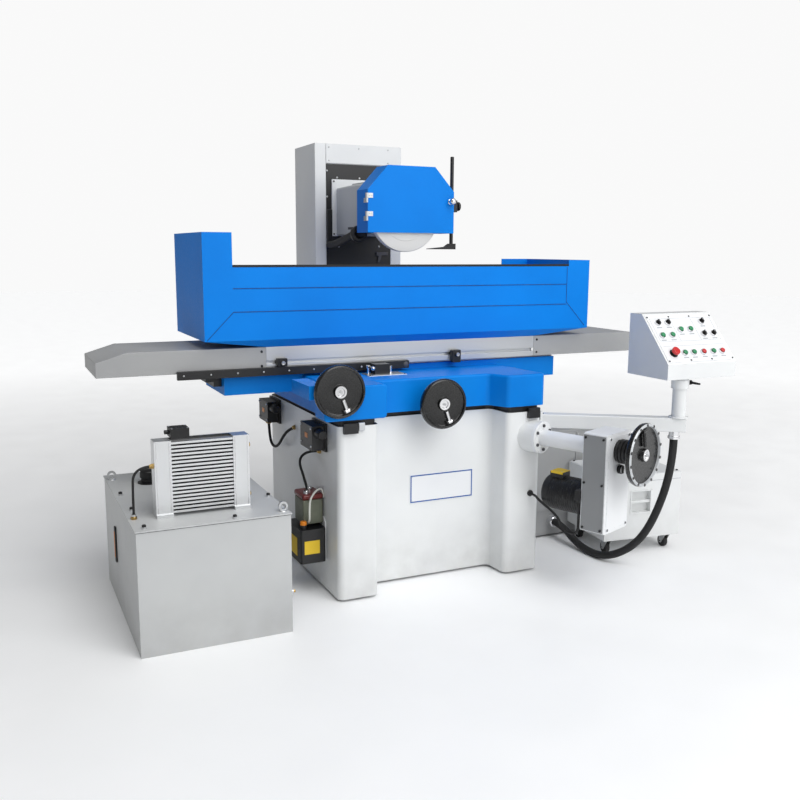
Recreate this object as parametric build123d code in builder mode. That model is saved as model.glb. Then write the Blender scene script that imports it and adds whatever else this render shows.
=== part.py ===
"""Hydraulic surface grinder with its power pack, coolant tank and control pendant.

Millimetres. X runs to the right along the table, Y to the back, Z up.
The origin is on the floor, at the middle of the machine base.
"""
import math
import os

from build123d import *

os.makedirs("parts", exist_ok=True)

# --- clearances -------------------------------------------------------------------------
SLIDE_GAP = 0.3          # between flat slideways
RUN_FIT = 0.05           # radial clearance of shafts and plungers in their bores
SHEET = 4.0              # thickness of folded sheet

# --- machine base -----------------------------------------------------------------------
FOOT_HEIGHT = 12.0
FOOT_RADIUS = 55.0
BASE_HALF_WIDTH = 521.0
BASE_FRONT = -700.0
BASE_WIDE_BACK = 280.0
BASE_REAR_HALF_WIDTH = 335.0
BASE_BACK = 700.0
BASE_TOP = 797.0
BASE_WALL = 28.0
RECESS_HALF_WIDTH = 320.0
RECESS_FACE = -557.0
RECESS_DRAFT = 10.0
BASE_CORNER = 30.0
RIB = 120.0
RIB_TOP = 60.0
COVER_STRIP_HEIGHT = 25.0
COVER_STRIP_INSET = 12.0
WAY_CENTRE = 385.0
WAY_WIDTH = 60.0
SADDLE_BOTTOM = 824.0

# --- saddle -----------------------------------------------------------------------------
SADDLE_LEFT = -545.0
SADDLE_FRONT = -600.0
SADDLE_BACK = 240.0
SADDLE_MID = 900.0
SADDLE_TOP = 975.0
SHELF_BACK = -300.0
LUG_LEFT = 330.0
LUG_RIGHT = 541.0
LUG_FRONT = -700.0
SADDLE_BACK_RIGHT = 505.0
BED_LEFT = -912.0
BED_RIGHT = 856.0
BED_BACK = 60.0
BED_TOP = 1000.0
DRIVE_BOX = (-590.0, -299.0, -720.0, 826.0)      # left, right, front, bottom
DRIVE_ARM = (-655.0, -592.0, -712.0, -480.0, 925.0, 985.0)

# --- table ------------------------------------------------------------------------------
TABLE_LEFT = -724.0
TABLE_RIGHT = 706.0
TABLE_FRONT = -330.0
TABLE_BACK = 85.0
TABLE_BOTTOM = 1012.0
TABLE_TOP = 1115.0
GROOVE_HEIGHT = 1045.0
GROOVE_WIDTH = 14.0
GROOVE_DEPTH = 16.0
TABLE_SLOT = 18.0
END_COVER_REACH = 1461.0
END_COVER_KNEE = 1330.0
END_COVER_TIP = 1075.0
RACK = (-1127.0, -18.0, 987.0, 1024.0)           # left, right, bottom, top
RACK_THICKNESS = 22.0
CHUCK_HALF_LENGTH = 500.0
CHUCK_HEIGHT = 80.0
CHUCK_SIDE_INSET = 8.0

# --- splash guard -----------------------------------------------------------------------
GUARD_HALF_LENGTH = 1010.0
GUARD_FRONT = -374.0
GUARD_BACK = 212.0
GUARD_BOTTOM = 1152.0
GUARD_TOP = 1481.0
GUARD_BACK_TOP = 1215.0
GUARD_LEFT_TOP = 1621.0
GUARD_RIGHT_TOP = 1503.0
GUARD_POST = 130.0
BACK_SCREEN_LEFT = 833.0
GUARD_RIB = (1380.0, 1278.0)

# --- column and head --------------------------------------------------------------------
COLUMN_HALF_WIDTH = 248.0
COLUMN_FRONT = 323.0
COLUMN_BACK = 647.0
COLUMN_TOP = 2098.0
COLUMN_WALL = 14.0
STRIP_WIDTH = 60.0
COVER_PLATE_TOP = 1995.0
COVER_PLATE_BOTTOM = 1190.0
COVER_PLATE_THICKNESS = 5.0
SPINDLE_HEIGHT = 1718.0
HEAD_PLATE = (-157.0, 150.0, 1621.0, 1916.0)     # left, right, bottom, top
HEAD_PLATE_THICKNESS = 12.0
HOUSING_HALF_WIDTH = 132.0
HOUSING_RIDGE = 1898.0
WHEEL_RADIUS = 177.5
WHEEL_WIDTH = 40.0
WHEEL_BORE = 63.5
WHEEL_FRONT = -268.0
SPINDLE_RADIUS = 32.0
FLANGE_LIP = 12.0
FLANGE_LIP_RADIUS = 85.0
NOSE_RADIUS = 60.0
NOSE_LENGTH = 12.0
HOOD_LEFT = -205.0
HOOD_RIGHT = 252.0
HOOD_FRONT = -278.0
HOOD_BACK = -148.0
HOOD_BOTTOM = 1631.0
HOOD_TOP = 1944.0
HOOD_CHAMFER = (104.0, 114.0)
DOOR_THICKNESS = 4.0
HINGE_RADIUS = 7.0
HINGE_LENGTH = 22.0
HINGE_PIN = 3.0
COOLANT_ROD = (266.0, -232.0, 9.0, 2000.0, 1568.0)   # x, y, radius, top, bottom
ROD_CLAMP = (1735.0, 1792.0)
ROD_CLAMP_REACH = 36.0

# --- elevating drive --------------------------------------------------------------------
DRIVE_ANGLE = 21.8
DRIVE_ORIGIN = Vector(487.0, -740.0, 678.0)
FLANGE_RADIUS = 76.0
TUBE_RADIUS = 38.0
CASE_START = 300.0
CASE_DEPTH = 118.0
CASE_HALF_WIDTH = 100.0
CASE_BOTTOM = 310.0
CASE_TOP = 760.0
CASE_COVER = 6.0
NECK_RADIUS = 50.0
NECK_LENGTH = 86.0
ELEV_WHEEL_RADIUS = 140.0
MOTOR_HEIGHT = 432.0
MOTOR_RADIUS = 80.0
MOTOR_START = 62.0
ELEV_WHEEL_FACE = 552.0
KNOB_HEIGHT = 594.0
KNOB_RADIUS = 20.0

# --- small parts of saddle, table and hood ----------------------------------------------
SHAFT_SEAT = 45.0
LATCH = (232.0, 1782.0)                          # x, z
LATCH_STEM = 6.0
LATCH_BALL = 17.0
REVERSE_POSTS = (-262.0, -150.0)
REVERSE_Y = -418.0
REVERSE_SHAFT = 6.0
DOG_WIDTH = 46.0
DOG_DEPTH = 28.0
DOG_TOP = 1064.0
DOG_LEFT = -656.0
DOG_RIGHT = 240.0

# --- front handwheels -------------------------------------------------------------------
HANDWHEEL_RADIUS = 115.0
SHAFT_RADIUS = 12.0
TABLE_WHEEL = Vector(-530.0, -760.0, 959.0)
CROSS_WHEEL = Vector(-15.0, -720.0, 866.0)       # middle of the front face
WHEEL_DISC = 30.0
WHEEL_RIM = 13.0
WHEEL_DISH = 15.0
WHEEL_HUB_RADIUS = 27.0
GRIP_ANGLE = -70.0
GRIP_RADIUS = 8.0
GRIP_INSET = 28.0
GRIP_PIN = 3.0

DRIVE_GRIP_ANGLE = 100.0
KNOB_ACROSS = 5.0
KNOB_SHAFT = 5.0
MOTOR_GLAND_ALONG = 288.0
MOTOR_GLAND_HEIGHT = 435.0

# --- pendant ----------------------------------------------------------------------------
ARM_START = -40.0
POST_TOP = 957.0
PIVOT_RADIUS = 16.0
PAD_RADIUS = 38.0
BORE_DEPTH = 16.0
PRESS_TRAVEL = 4.0
STOP_TRAVEL = 5.0
STOP_RADIUS = 20.0
POST = Vector(1080.0, -1012.0, 0.0)
POST_RADIUS = 33.0
ARM_ROOT = Vector(533.0, -650.0, 0.0)
ARM_SIDE = 66.0
ARM_TOP = 775.0
COLLAR_RADIUS = 41.0
COLLAR_HEIGHT = 42.0
BOX_LEFT = 953.0
BOX_RIGHT = 1369.0
BOX_FRONT = -1066.0
BOX_BACK = -785.0
BOX_BOTTOM = 965.0
BOX_LIP = 72.0
BOX_SLOPE_TOP = (-868.0, 1257.0)                 # y, z
PANEL_THICKNESS = 3.0
PANEL_MARGIN = 10.0
BEZEL_RADIUS = 14.5
BEZEL_HEIGHT = 9.0
PLUNGER_RADIUS = 11.0

# --- hydraulic power pack ---------------------------------------------------------------
TANK = (-1408.0, -801.0, -894.0, 27.0)           # left, right, front, back
TANK_HEIGHT = 500.0
LID_THICKNESS = 6.0
LID_OVERHANG = 4.0
COOLER = (-1306.0, -929.0, 520.0, 812.0)         # left, right, bottom, top
COOLER_FRONT = -757.0
COOLER_DEPTH = 60.0
COOLER_END = 66.0
FIN_COUNT = 19
FAN_RADIUS = 105.0
FAN_HEIGHT = 665.0
FAN_X = -1117.0

TANK_WALL = 6.0
DRAIN_HEIGHT = 145.0
LID_BOLTS = [(-1387, -350), (-1379, -605), (-1372, -865), (-1025, -874), (-815, -625)]
LIFTING_EYES = [(-1385, -60), (-822, -855)]
SHROUD_LENGTH = 85.0
FAN_MOTOR_RADIUS = 55.0
FAN_MOTOR_LENGTH = 110.0
FAN_SHAFT = 8.0
FAN_BLADES = 6

# --- coolant tank and cabinet -----------------------------------------------------------
HANDLE_BOTTOM = 219.0
KINGPIN = 6.0
AXLE = 4.0
AXLE_CHEEK = 13.0
WHEEL_HALF = 11.0
CABINET_SEAM = 1026.0
COOLANT_ANGLE = 6.5
COOLANT_CORNER = Vector(932.0, -690.0, 0.0)
COOLANT_WIDTH = 447.0
COOLANT_DEPTH = 380.0
COOLANT_BOTTOM = 82.0
COOLANT_TOP = 420.0
CASTER_RADIUS = 30.0
CASTER_INSET = 48.0
CASTER_TRAIL = 18.0
CABINET = (620.0, 1180.0, -290.0, 200.0)
CABINET_TOP = 590.0


# --- left side of the base and nameplate --------------------------------------------------
RESERVOIR = (-649.0, -530.0, -560.0, -356.0, 152.0, 309.0)
VALVES = [(115.0, 265.0, 676.0, 783.0), (-558.0, -400.0, 669.0, 780.0)]
PLATE = (-111.0, 228.0, 371.0, 511.0)

# --- free cords: corner points of each route ----------------------------------------------
CONDUIT_RADIUS = 19.0
CONDUIT_POINTS = [
    (1067.0, -1004.0, 672.0),
    (1067.0, -1004.0, 517.0),
    (1025.0, -942.0, 250.0),
    (974.0, -864.0, 101.0),
    (894.0, -745.0, 19.2),
    (886.0, -545.0, 19.2),
    (880.0, -400.0, 93.0),
    (880.0, -318.0, 93.0),
]
MOTOR_CABLE_RADIUS = 6.0
MOTOR_CABLE_POINTS = [
    (465.0, -712.0, 396.0),
    (465.0, -756.0, 396.0),
    (425.0, -830.0, 402.0),
    (462.0, -938.0, 350.0),
    (476.0, -966.0, 282.0),
    (501.0, -1043.0, 282.0),
    (500.0, -1045.0, 362.0),
    (500.0, -1045.0, 435.0),
]
COOLER_HOSE_RADIUS = 5.0
COOLER_HOSE_POINTS = [
    (-1316.0, -727.0, 711.0),
    (-1384.0, -727.0, 711.0),
    (-1388.0, -727.0, 600.0),
    (-1388.0, -727.0, 526.0),
]


def save(builder, name):
    """Label a finished piece and write it to its own STEP file."""
    builder.part.label = name
    export_step(builder.part, f"parts/{name}.step")


def block(left, right, front, back, bottom, top, mode=Mode.ADD):
    """Add a box given by its six faces to the part being built."""
    centre = Location(((left + right) / 2, (front + back) / 2, (bottom + top) / 2))
    with Locations(centre):
        Box(right - left, back - front, top - bottom, mode=mode)


def drum(plane, radius, length, mode=Mode.ADD):
    """Add a cylinder that grows from a plane along its normal."""
    with BuildSketch(plane, mode=Mode.PRIVATE) as disc:
        Circle(radius)
    extrude(disc.sketch, amount=length, mode=mode)


def outline(points, plane, height, radius=0.0, inset=0.0, mode=Mode.ADD):
    """Extrude a closed outline from a plane, with rounded corners and an optional inset."""
    with BuildSketch(plane, mode=Mode.PRIVATE) as area:
        with BuildLine():
            Polyline(*points, close=True)
        make_face()
        if radius:
            fillet(area.vertices(), radius)
        if inset:
            offset(amount=-inset)
    extrude(area.sketch, amount=height, mode=mode)


def facing_front(x, y, z):
    """Give an upright plane at a point, facing the operator."""
    return Plane(origin=(x, y, z), x_dir=(1, 0, 0), z_dir=(0, -1, 0))


def level(x, y, z):
    """Give a horizontal plane at a point, facing up."""
    return Plane(origin=(x, y, z))


# =========================================================================================
# Machine base
# =========================================================================================
base_outline = [
    (-BASE_HALF_WIDTH, BASE_FRONT),
    (-RECESS_HALF_WIDTH - RECESS_DRAFT, BASE_FRONT),
    (-RECESS_HALF_WIDTH, RECESS_FACE),
    (RECESS_HALF_WIDTH, RECESS_FACE),
    (RECESS_HALF_WIDTH + RECESS_DRAFT, BASE_FRONT),
    (BASE_HALF_WIDTH, BASE_FRONT),
    (BASE_HALF_WIDTH, BASE_WIDE_BACK),
    (BASE_REAR_HALF_WIDTH, BASE_WIDE_BACK + 120),
    (BASE_REAR_HALF_WIDTH, BASE_BACK),
    (-BASE_REAR_HALF_WIDTH, BASE_BACK),
    (-BASE_REAR_HALF_WIDTH, BASE_WIDE_BACK + 120),
    (-BASE_HALF_WIDTH, BASE_WIDE_BACK),
]
drive_dir = Vector(
    math.sin(math.radians(DRIVE_ANGLE)), -math.cos(math.radians(DRIVE_ANGLE)), 0
)
drive_side = Vector(
    math.cos(math.radians(DRIVE_ANGLE)), math.sin(math.radians(DRIVE_ANGLE)), 0
)


def drive_point(along, across=0.0, height=0.0):
    """Give a point in the elevating drive's own directions."""
    return DRIVE_ORIGIN + drive_dir * along + drive_side * across + Vector(0, 0, height)


def drive_plane(along, across=0.0, height=0.0):
    """Give a plane square to the drive axis, facing the operator."""
    return Plane(origin=drive_point(along, across, height), x_dir=drive_side, z_dir=drive_dir)


with BuildPart() as base_casting:
    outline(
        base_outline,
        Plane.XY.offset(BASE_TOP),
        COVER_STRIP_HEIGHT,
        BASE_CORNER,
        inset=COVER_STRIP_INSET,
    )
    block(-600, 600, BASE_WIDE_BACK - 40, BASE_BACK + 50, 700, 900, mode=Mode.SUBTRACT)
    outline(base_outline, Plane.XY.offset(FOOT_HEIGHT), BASE_TOP - FOOT_HEIGHT, BASE_CORNER)
    with BuildSketch(drive_plane(-170)):
        Circle(FLANGE_RADIUS + 6)
    with BuildSketch(drive_plane(0)):
        Circle(FLANGE_RADIUS)
    loft()
    outline(
        base_outline,
        Plane.XY.offset(FOOT_HEIGHT),
        BASE_TOP - BASE_WALL - FOOT_HEIGHT,
        BASE_CORNER,
        inset=BASE_WALL,
        mode=Mode.SUBTRACT,
    )
    block(
        BASE_HALF_WIDTH,
        BASE_HALF_WIDTH + 100,
        BASE_FRONT - 2,
        ARM_ROOT.Y + 100,
        ARM_TOP - ARM_SIDE - 60,
        ARM_TOP + 60,
        mode=Mode.SUBTRACT,
    )
    inner = BASE_HALF_WIDTH - BASE_WALL
    block(-RIB / 2, RIB / 2, RECESS_FACE, BASE_BACK - BASE_WALL, FOOT_HEIGHT, RIB_TOP)
    block(-inner, inner, -RIB / 2, RIB / 2, FOOT_HEIGHT, RIB_TOP)
    for side in (-1, 1):
        way = side * WAY_CENTRE
        block(
            way - WAY_WIDTH / 2,
            way + WAY_WIDTH / 2,
            BASE_FRONT + 40,
            BASE_WIDE_BACK - 20,
            BASE_TOP,
            SADDLE_BOTTOM - SLIDE_GAP,
        )
    block(437, 499, BASE_FRONT - 18, BASE_FRONT, 767, 815)
    block(-500, -434, BASE_FRONT - 18, BASE_FRONT, 767, 812)
    block(PLATE[0], PLATE[1], RECESS_FACE - 2, RECESS_FACE, PLATE[2], PLATE[3])
save(base_casting, "base_casting")

foot_places = [
    (-430, -620), (430, -620), (-450, 180), (450, 180), (-260, 620), (260, 620), (0, 0),
]
with BuildPart() as levelling_feet:
    with BuildSketch():
        with Locations(*foot_places):
            Circle(FOOT_RADIUS)
    extrude(amount=FOOT_HEIGHT)
save(levelling_feet, "levelling_feet")


# =========================================================================================
# Column
# =========================================================================================
with BuildPart() as column:
    block(
        -COLUMN_HALF_WIDTH,
        COLUMN_HALF_WIDTH,
        COLUMN_FRONT + COVER_PLATE_THICKNESS + 2 + SLIDE_GAP,
        COLUMN_BACK,
        BASE_TOP,
        COLUMN_TOP,
    )
    block(
        -COLUMN_HALF_WIDTH + COLUMN_WALL,
        COLUMN_HALF_WIDTH - COLUMN_WALL,
        COLUMN_FRONT + 40,
        COLUMN_BACK - COLUMN_WALL,
        BASE_TOP,
        COLUMN_TOP - COLUMN_WALL,
        mode=Mode.SUBTRACT,
    )
    for side in (-1, 1):
        outer = side * COLUMN_HALF_WIDTH
        inner = side * (COLUMN_HALF_WIDTH - STRIP_WIDTH)
        block(
            min(outer, inner),
            max(outer, inner),
            COLUMN_FRONT,
            COLUMN_FRONT + 20,
            BASE_TOP,
            COLUMN_TOP,
        )
    block(
        -COLUMN_HALF_WIDTH + STRIP_WIDTH + 2,
        COLUMN_HALF_WIDTH,
        COLUMN_FRONT - 1,
        COLUMN_FRONT + 20,
        COVER_PLATE_TOP + 4,
        COLUMN_TOP,
    )
save(column, "column")

# =========================================================================================
# Wheel head (moves up and down with its cover plate)
# =========================================================================================
plate_half = COLUMN_HALF_WIDTH - STRIP_WIDTH - 1.5
plate_front = COLUMN_FRONT + 2
wheel_back = WHEEL_FRONT + WHEEL_WIDTH


def on_spindle(y):
    """Give the plane across the spindle at a place along Y, facing the operator."""
    return facing_front(0, y, SPINDLE_HEIGHT)


housing_outline = [
    (-HOUSING_HALF_WIDTH, HEAD_PLATE[2]),
    (HOUSING_HALF_WIDTH, HEAD_PLATE[2]),
    (HOUSING_HALF_WIDTH, HOUSING_RIDGE - 28),
    (0, HOUSING_RIDGE),
    (-HOUSING_HALF_WIDTH, HOUSING_RIDGE - 28),
]
housing_back = plate_front - HEAD_PLATE_THICKNESS
with BuildPart() as wheel_head:
    block(
        -plate_half,
        plate_half,
        plate_front,
        plate_front + COVER_PLATE_THICKNESS,
        COVER_PLATE_BOTTOM,
        COVER_PLATE_TOP,
    )
    block(
        HEAD_PLATE[0],
        HEAD_PLATE[1],
        housing_back,
        plate_front,
        HEAD_PLATE[2],
        HEAD_PLATE[3],
    )
    outline(
        housing_outline,
        Plane.XZ.offset(-housing_back),
        housing_back - HOOD_BACK,
        radius=12,
    )
    drum(on_spindle(HOOD_BACK), NOSE_RADIUS, NOSE_LENGTH)
    drum(
        on_spindle(plate_front),
        SPINDLE_RADIUS + RUN_FIT,
        plate_front - HOOD_BACK + NOSE_LENGTH,
        mode=Mode.SUBTRACT,
    )
save(wheel_head, "wheel_head")

with BuildPart() as spindle:
    drum(on_spindle(plate_front - 4), SPINDLE_RADIUS, plate_front - 4 - wheel_back)
    drum(on_spindle(wheel_back + FLANGE_LIP), FLANGE_LIP_RADIUS, FLANGE_LIP)
    drum(on_spindle(wheel_back), WHEEL_BORE, WHEEL_WIDTH)
    drum(on_spindle(WHEEL_FRONT), FLANGE_LIP_RADIUS, 4)
    chamfer(spindle.edges().filter_by(GeomType.CIRCLE).sort_by(Axis.Y)[0], 2)
save(spindle, "spindle")

with BuildPart() as grinding_wheel:
    drum(on_spindle(wheel_back), WHEEL_RADIUS, WHEEL_WIDTH)
    drum(on_spindle(wheel_back), WHEEL_BORE, WHEEL_WIDTH, mode=Mode.SUBTRACT)
    chamfer(grinding_wheel.edges().filter_by(GeomType.CIRCLE).group_by(
        SortBy.RADIUS)[-1], 1.5)
save(grinding_wheel, "grinding_wheel")

hood_outline = [
    (HOOD_LEFT, HOOD_BOTTOM),
    (HOOD_RIGHT, HOOD_BOTTOM),
    (HOOD_RIGHT, HOOD_TOP - HOOD_CHAMFER[1]),
    (HOOD_RIGHT - HOOD_CHAMFER[0], HOOD_TOP),
    (HOOD_LEFT + HOOD_CHAMFER[0], HOOD_TOP),
    (HOOD_LEFT, HOOD_TOP - HOOD_CHAMFER[1]),
]
hood_inner = [
    (HOOD_LEFT + SHEET, HOOD_BOTTOM - 10),
    (HOOD_RIGHT - SHEET, HOOD_BOTTOM - 10),
    (HOOD_RIGHT - SHEET, HOOD_TOP - HOOD_CHAMFER[1] - 2),
    (HOOD_RIGHT - HOOD_CHAMFER[0] - 2, HOOD_TOP - SHEET),
    (HOOD_LEFT + HOOD_CHAMFER[0] + 2, HOOD_TOP - SHEET),
    (HOOD_LEFT + SHEET, HOOD_TOP - HOOD_CHAMFER[1] - 2),
]
hinge_places = (HOOD_BOTTOM + 75, HOOD_TOP - HOOD_CHAMFER[1] - 40)
hinge_x = HOOD_LEFT - HINGE_RADIUS
hinge_y = HOOD_FRONT - HINGE_RADIUS
with BuildPart() as wheel_hood:
    outline(hood_outline, Plane.XZ.offset(-HOOD_BACK), HOOD_BACK - HOOD_FRONT)
    outline(
        hood_inner,
        Plane.XZ.offset(-HOOD_BACK + SHEET),
        HOOD_BACK - HOOD_FRONT,
        mode=Mode.SUBTRACT,
    )
    drum(on_spindle(HOOD_BACK), NOSE_RADIUS, SHEET, mode=Mode.SUBTRACT)
    block(
        HOOD_RIGHT,
        HOOD_RIGHT + ROD_CLAMP_REACH,
        COOLANT_ROD[1] - 20,
        COOLANT_ROD[1] + 20,
        ROD_CLAMP[0],
        ROD_CLAMP[1],
    )
    drum(
        level(COOLANT_ROD[0], COOLANT_ROD[1], ROD_CLAMP[0]),
        COOLANT_ROD[2] + RUN_FIT,
        ROD_CLAMP[1] - ROD_CLAMP[0],
        mode=Mode.SUBTRACT,
    )
    for height in hinge_places:
        low = height - HINGE_LENGTH
        drum(level(hinge_x, hinge_y, low), HINGE_RADIUS, HINGE_LENGTH - SLIDE_GAP)
        block(hinge_x, HOOD_LEFT, hinge_y, HOOD_FRONT + 30, low, height - SLIDE_GAP)
        drum(level(hinge_x, hinge_y, low), HINGE_PIN, 2 * HINGE_LENGTH)
save(wheel_hood, "wheel_hood")

with BuildPart() as guard_door:
    outline(hood_outline, Plane.XZ.offset(-HOOD_FRONT + SLIDE_GAP), DOOR_THICKNESS)
    for height in hinge_places:
        drum(level(hinge_x, hinge_y, height), HINGE_RADIUS, HINGE_LENGTH)
        block(
            hinge_x,
            HOOD_LEFT + 25,
            HOOD_FRONT - DOOR_THICKNESS - SLIDE_GAP - 3,
            HOOD_FRONT - DOOR_THICKNESS,
            height,
            height + HINGE_LENGTH,
        )
        drum(
            level(hinge_x, hinge_y, height),
            HINGE_PIN + RUN_FIT,
            HINGE_LENGTH,
            mode=Mode.SUBTRACT,
        )
    latch_seat = HOOD_FRONT - SLIDE_GAP - DOOR_THICKNESS
    drum(facing_front(LATCH[0], latch_seat, LATCH[1]), LATCH_STEM, 12)
    with Locations((LATCH[0], latch_seat - 8 - LATCH_BALL, LATCH[1])):
        Sphere(LATCH_BALL)
save(guard_door, "guard_door")

rod_x, rod_y, rod_radius, rod_top, rod_bottom = COOLANT_ROD
with BuildPart() as coolant_rod:
    drum(level(rod_x, rod_y, rod_bottom), rod_radius, rod_top - rod_bottom)
    with BuildSketch(facing_front(rod_x, rod_y + 16, rod_bottom)):
        with BuildLine():
            Polyline((18, -14), (18, 14), (-12, 14), (-36, -2), (-130, -11), (-130, -14), close=True)
        make_face()
    extrude(amount=32)
save(coolant_rod, "coolant_rod")

knob_seat = HOOD_RIGHT + ROD_CLAMP_REACH
clamp_height = (ROD_CLAMP[0] + ROD_CLAMP[1]) / 2
clamp_plane = Plane(
    origin=(knob_seat, rod_y, clamp_height), x_dir=(0, 1, 0), z_dir=(1, 0, 0)
)
with BuildPart() as rod_clamp_knob:
    drum(clamp_plane.offset(SLIDE_GAP), 6, 8)
    drum(clamp_plane.offset(8), 22, 14)
    fillet(rod_clamp_knob.edges().filter_by(GeomType.CIRCLE).sort_by(Axis.X)[-1], 6)
save(rod_clamp_knob, "rod_clamp_knob")

# =========================================================================================
# Saddle with the table ways
# =========================================================================================
saddle_outline = [
    (SADDLE_LEFT, SADDLE_FRONT),
    (LUG_LEFT - 50, SADDLE_FRONT),
    (LUG_LEFT, LUG_FRONT),
    (LUG_RIGHT, LUG_FRONT),
    (SADDLE_BACK_RIGHT, SHELF_BACK),
    (SADDLE_BACK_RIGHT, SADDLE_BACK),
    (SADDLE_LEFT, SADDLE_BACK),
]
with BuildPart() as saddle:
    outline(
        saddle_outline,
        Plane.XY.offset(SADDLE_BOTTOM),
        SADDLE_TOP - SADDLE_BOTTOM,
        radius=28,
    )
    fillet(saddle.faces().sort_by(Axis.Z)[-1].edges(), 12)
    block(
        SADDLE_LEFT - 5,
        LUG_RIGHT,
        SHELF_BACK - SLIDE_GAP,
        SADDLE_BACK + 5,
        SADDLE_MID,
        SADDLE_TOP + 5,
        mode=Mode.SUBTRACT,
    )
    block(
        -WAY_CENTRE + WAY_WIDTH,
        WAY_CENTRE - WAY_WIDTH,
        SADDLE_FRONT + 60,
        SADDLE_BACK - 40,
        SADDLE_BOTTOM,
        SADDLE_MID - 30,
        mode=Mode.SUBTRACT,
    )
    drum(
        facing_front(CROSS_WHEEL.X, SADDLE_FRONT + SHAFT_SEAT, CROSS_WHEEL.Z),
        SHAFT_RADIUS + RUN_FIT,
        SHAFT_SEAT + 5,
        mode=Mode.SUBTRACT,
    )
    block(BED_LEFT, BED_RIGHT, SHELF_BACK, BED_BACK, SADDLE_MID, BED_TOP)
    for reach, low in ((37, 936), (73, 958)):
        block(BED_LEFT - reach, BED_LEFT, SHELF_BACK + 45, BED_BACK - 45, low, BED_TOP - 8)
    for front in (SHELF_BACK + 20, BED_BACK - 80):
        block(BED_LEFT, BED_RIGHT, front, front + 60, BED_TOP, TABLE_BOTTOM - SLIDE_GAP)
save(saddle, "saddle")

box_left, box_right, box_front, box_bottom = DRIVE_BOX
arm_left, arm_right, arm_front, arm_back, arm_bottom, arm_top = DRIVE_ARM
with BuildPart() as table_drive_box:
    block(box_left, box_right, box_front, SADDLE_FRONT, box_bottom, SADDLE_TOP)
    fillet(table_drive_box.edges().filter_by(Axis.Y), 16)
    fillet(table_drive_box.faces().sort_by(Axis.Y)[0].edges(), 8)
    block(arm_left, arm_right + 10, arm_front, arm_back, arm_bottom, arm_top)
    drum(
        facing_front(TABLE_WHEEL.X, box_front + SHAFT_SEAT, TABLE_WHEEL.Z),
        SHAFT_RADIUS + RUN_FIT,
        SHAFT_SEAT + 5,
        mode=Mode.SUBTRACT,
    )
    block(
        -600, SADDLE_LEFT - 1, SADDLE_FRONT, arm_back, arm_bottom - 1, arm_bottom, mode=Mode.SUBTRACT
    )
    block(-282, -90, -480, -378, SADDLE_TOP, SADDLE_TOP + 3)
    block(-238, -162, -445, -390, SADDLE_TOP + 3, SADDLE_TOP + 50)
    drum(level(REVERSE_POSTS[1], REVERSE_Y, SADDLE_TOP + 3), 9, 34)
    drum(
        level(REVERSE_POSTS[0], REVERSE_Y, SADDLE_TOP),
        REVERSE_SHAFT + RUN_FIT,
        3,
        mode=Mode.SUBTRACT,
    )
save(table_drive_box, "table_drive_box")

with BuildPart() as reversing_lever:
    drum(level(REVERSE_POSTS[0], REVERSE_Y, SADDLE_TOP + SLIDE_GAP), REVERSE_SHAFT, 40)
    drum(level(REVERSE_POSTS[0], REVERSE_Y, SADDLE_TOP + 30), 10, 14)
    block(
        REVERSE_POSTS[0] - 5,
        REVERSE_POSTS[0] + 5,
        REVERSE_Y - 52,
        REVERSE_Y,
        SADDLE_TOP + 33,
        SADDLE_TOP + 41,
    )
    with Locations((REVERSE_POSTS[0], REVERSE_Y - 58, SADDLE_TOP + 37)):
        Sphere(10)
save(reversing_lever, "reversing_lever")

# =========================================================================================
# Table and what stands on it
# =========================================================================================
rack_left, rack_right, rack_bottom, rack_top = RACK
with BuildPart() as table:
    block(TABLE_LEFT, TABLE_RIGHT, TABLE_FRONT, TABLE_BACK, TABLE_BOTTOM, TABLE_TOP)
    block(
        TABLE_LEFT,
        TABLE_RIGHT,
        TABLE_FRONT,
        TABLE_FRONT + GROOVE_DEPTH,
        GROOVE_HEIGHT - GROOVE_WIDTH / 2,
        GROOVE_HEIGHT + GROOVE_WIDTH / 2,
        mode=Mode.SUBTRACT,
    )
    table_mid = (TABLE_FRONT + TABLE_BACK) / 2
    half_slot = TABLE_SLOT / 2
    block(
        TABLE_LEFT,
        TABLE_RIGHT,
        table_mid - half_slot,
        table_mid + half_slot,
        TABLE_TOP - 20,
        TABLE_TOP,
        mode=Mode.SUBTRACT,
    )
    block(
        TABLE_LEFT,
        TABLE_RIGHT,
        table_mid - half_slot - 6,
        table_mid + half_slot + 6,
        TABLE_TOP - 32,
        TABLE_TOP - 20,
        mode=Mode.SUBTRACT,
    )
    block(
        rack_left,
        rack_right,
        TABLE_FRONT - RACK_THICKNESS,
        TABLE_FRONT,
        rack_bottom,
        rack_top,
    )
save(table, "table")


def end_cover_outline(start, side, shrink=0.0):
    """Give the side view of an end cover that starts at a table end."""
    reach = END_COVER_REACH - shrink
    return [
        (start, TABLE_BOTTOM - (1 if shrink else 0)),
        (side * reach, TABLE_BOTTOM - (1 if shrink else 0)),
        (side * reach, END_COVER_TIP - shrink * 0.7),
        (side * END_COVER_KNEE, TABLE_TOP - shrink),
        (start, TABLE_TOP - shrink),
    ]


with BuildPart() as table_end_covers:
    for start, side in ((TABLE_LEFT, -1), (TABLE_RIGHT, 1)):
        cover_back = Plane.XZ.offset(-TABLE_BACK)
        outline(end_cover_outline(start, side), cover_back, TABLE_BACK - TABLE_FRONT)
        outline(
            end_cover_outline(start, side, shrink=SHEET),
            cover_back.offset(SHEET),
            TABLE_BACK - TABLE_FRONT - 2 * SHEET,
            mode=Mode.SUBTRACT,
        )
save(table_end_covers, "table_end_covers")


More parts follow.
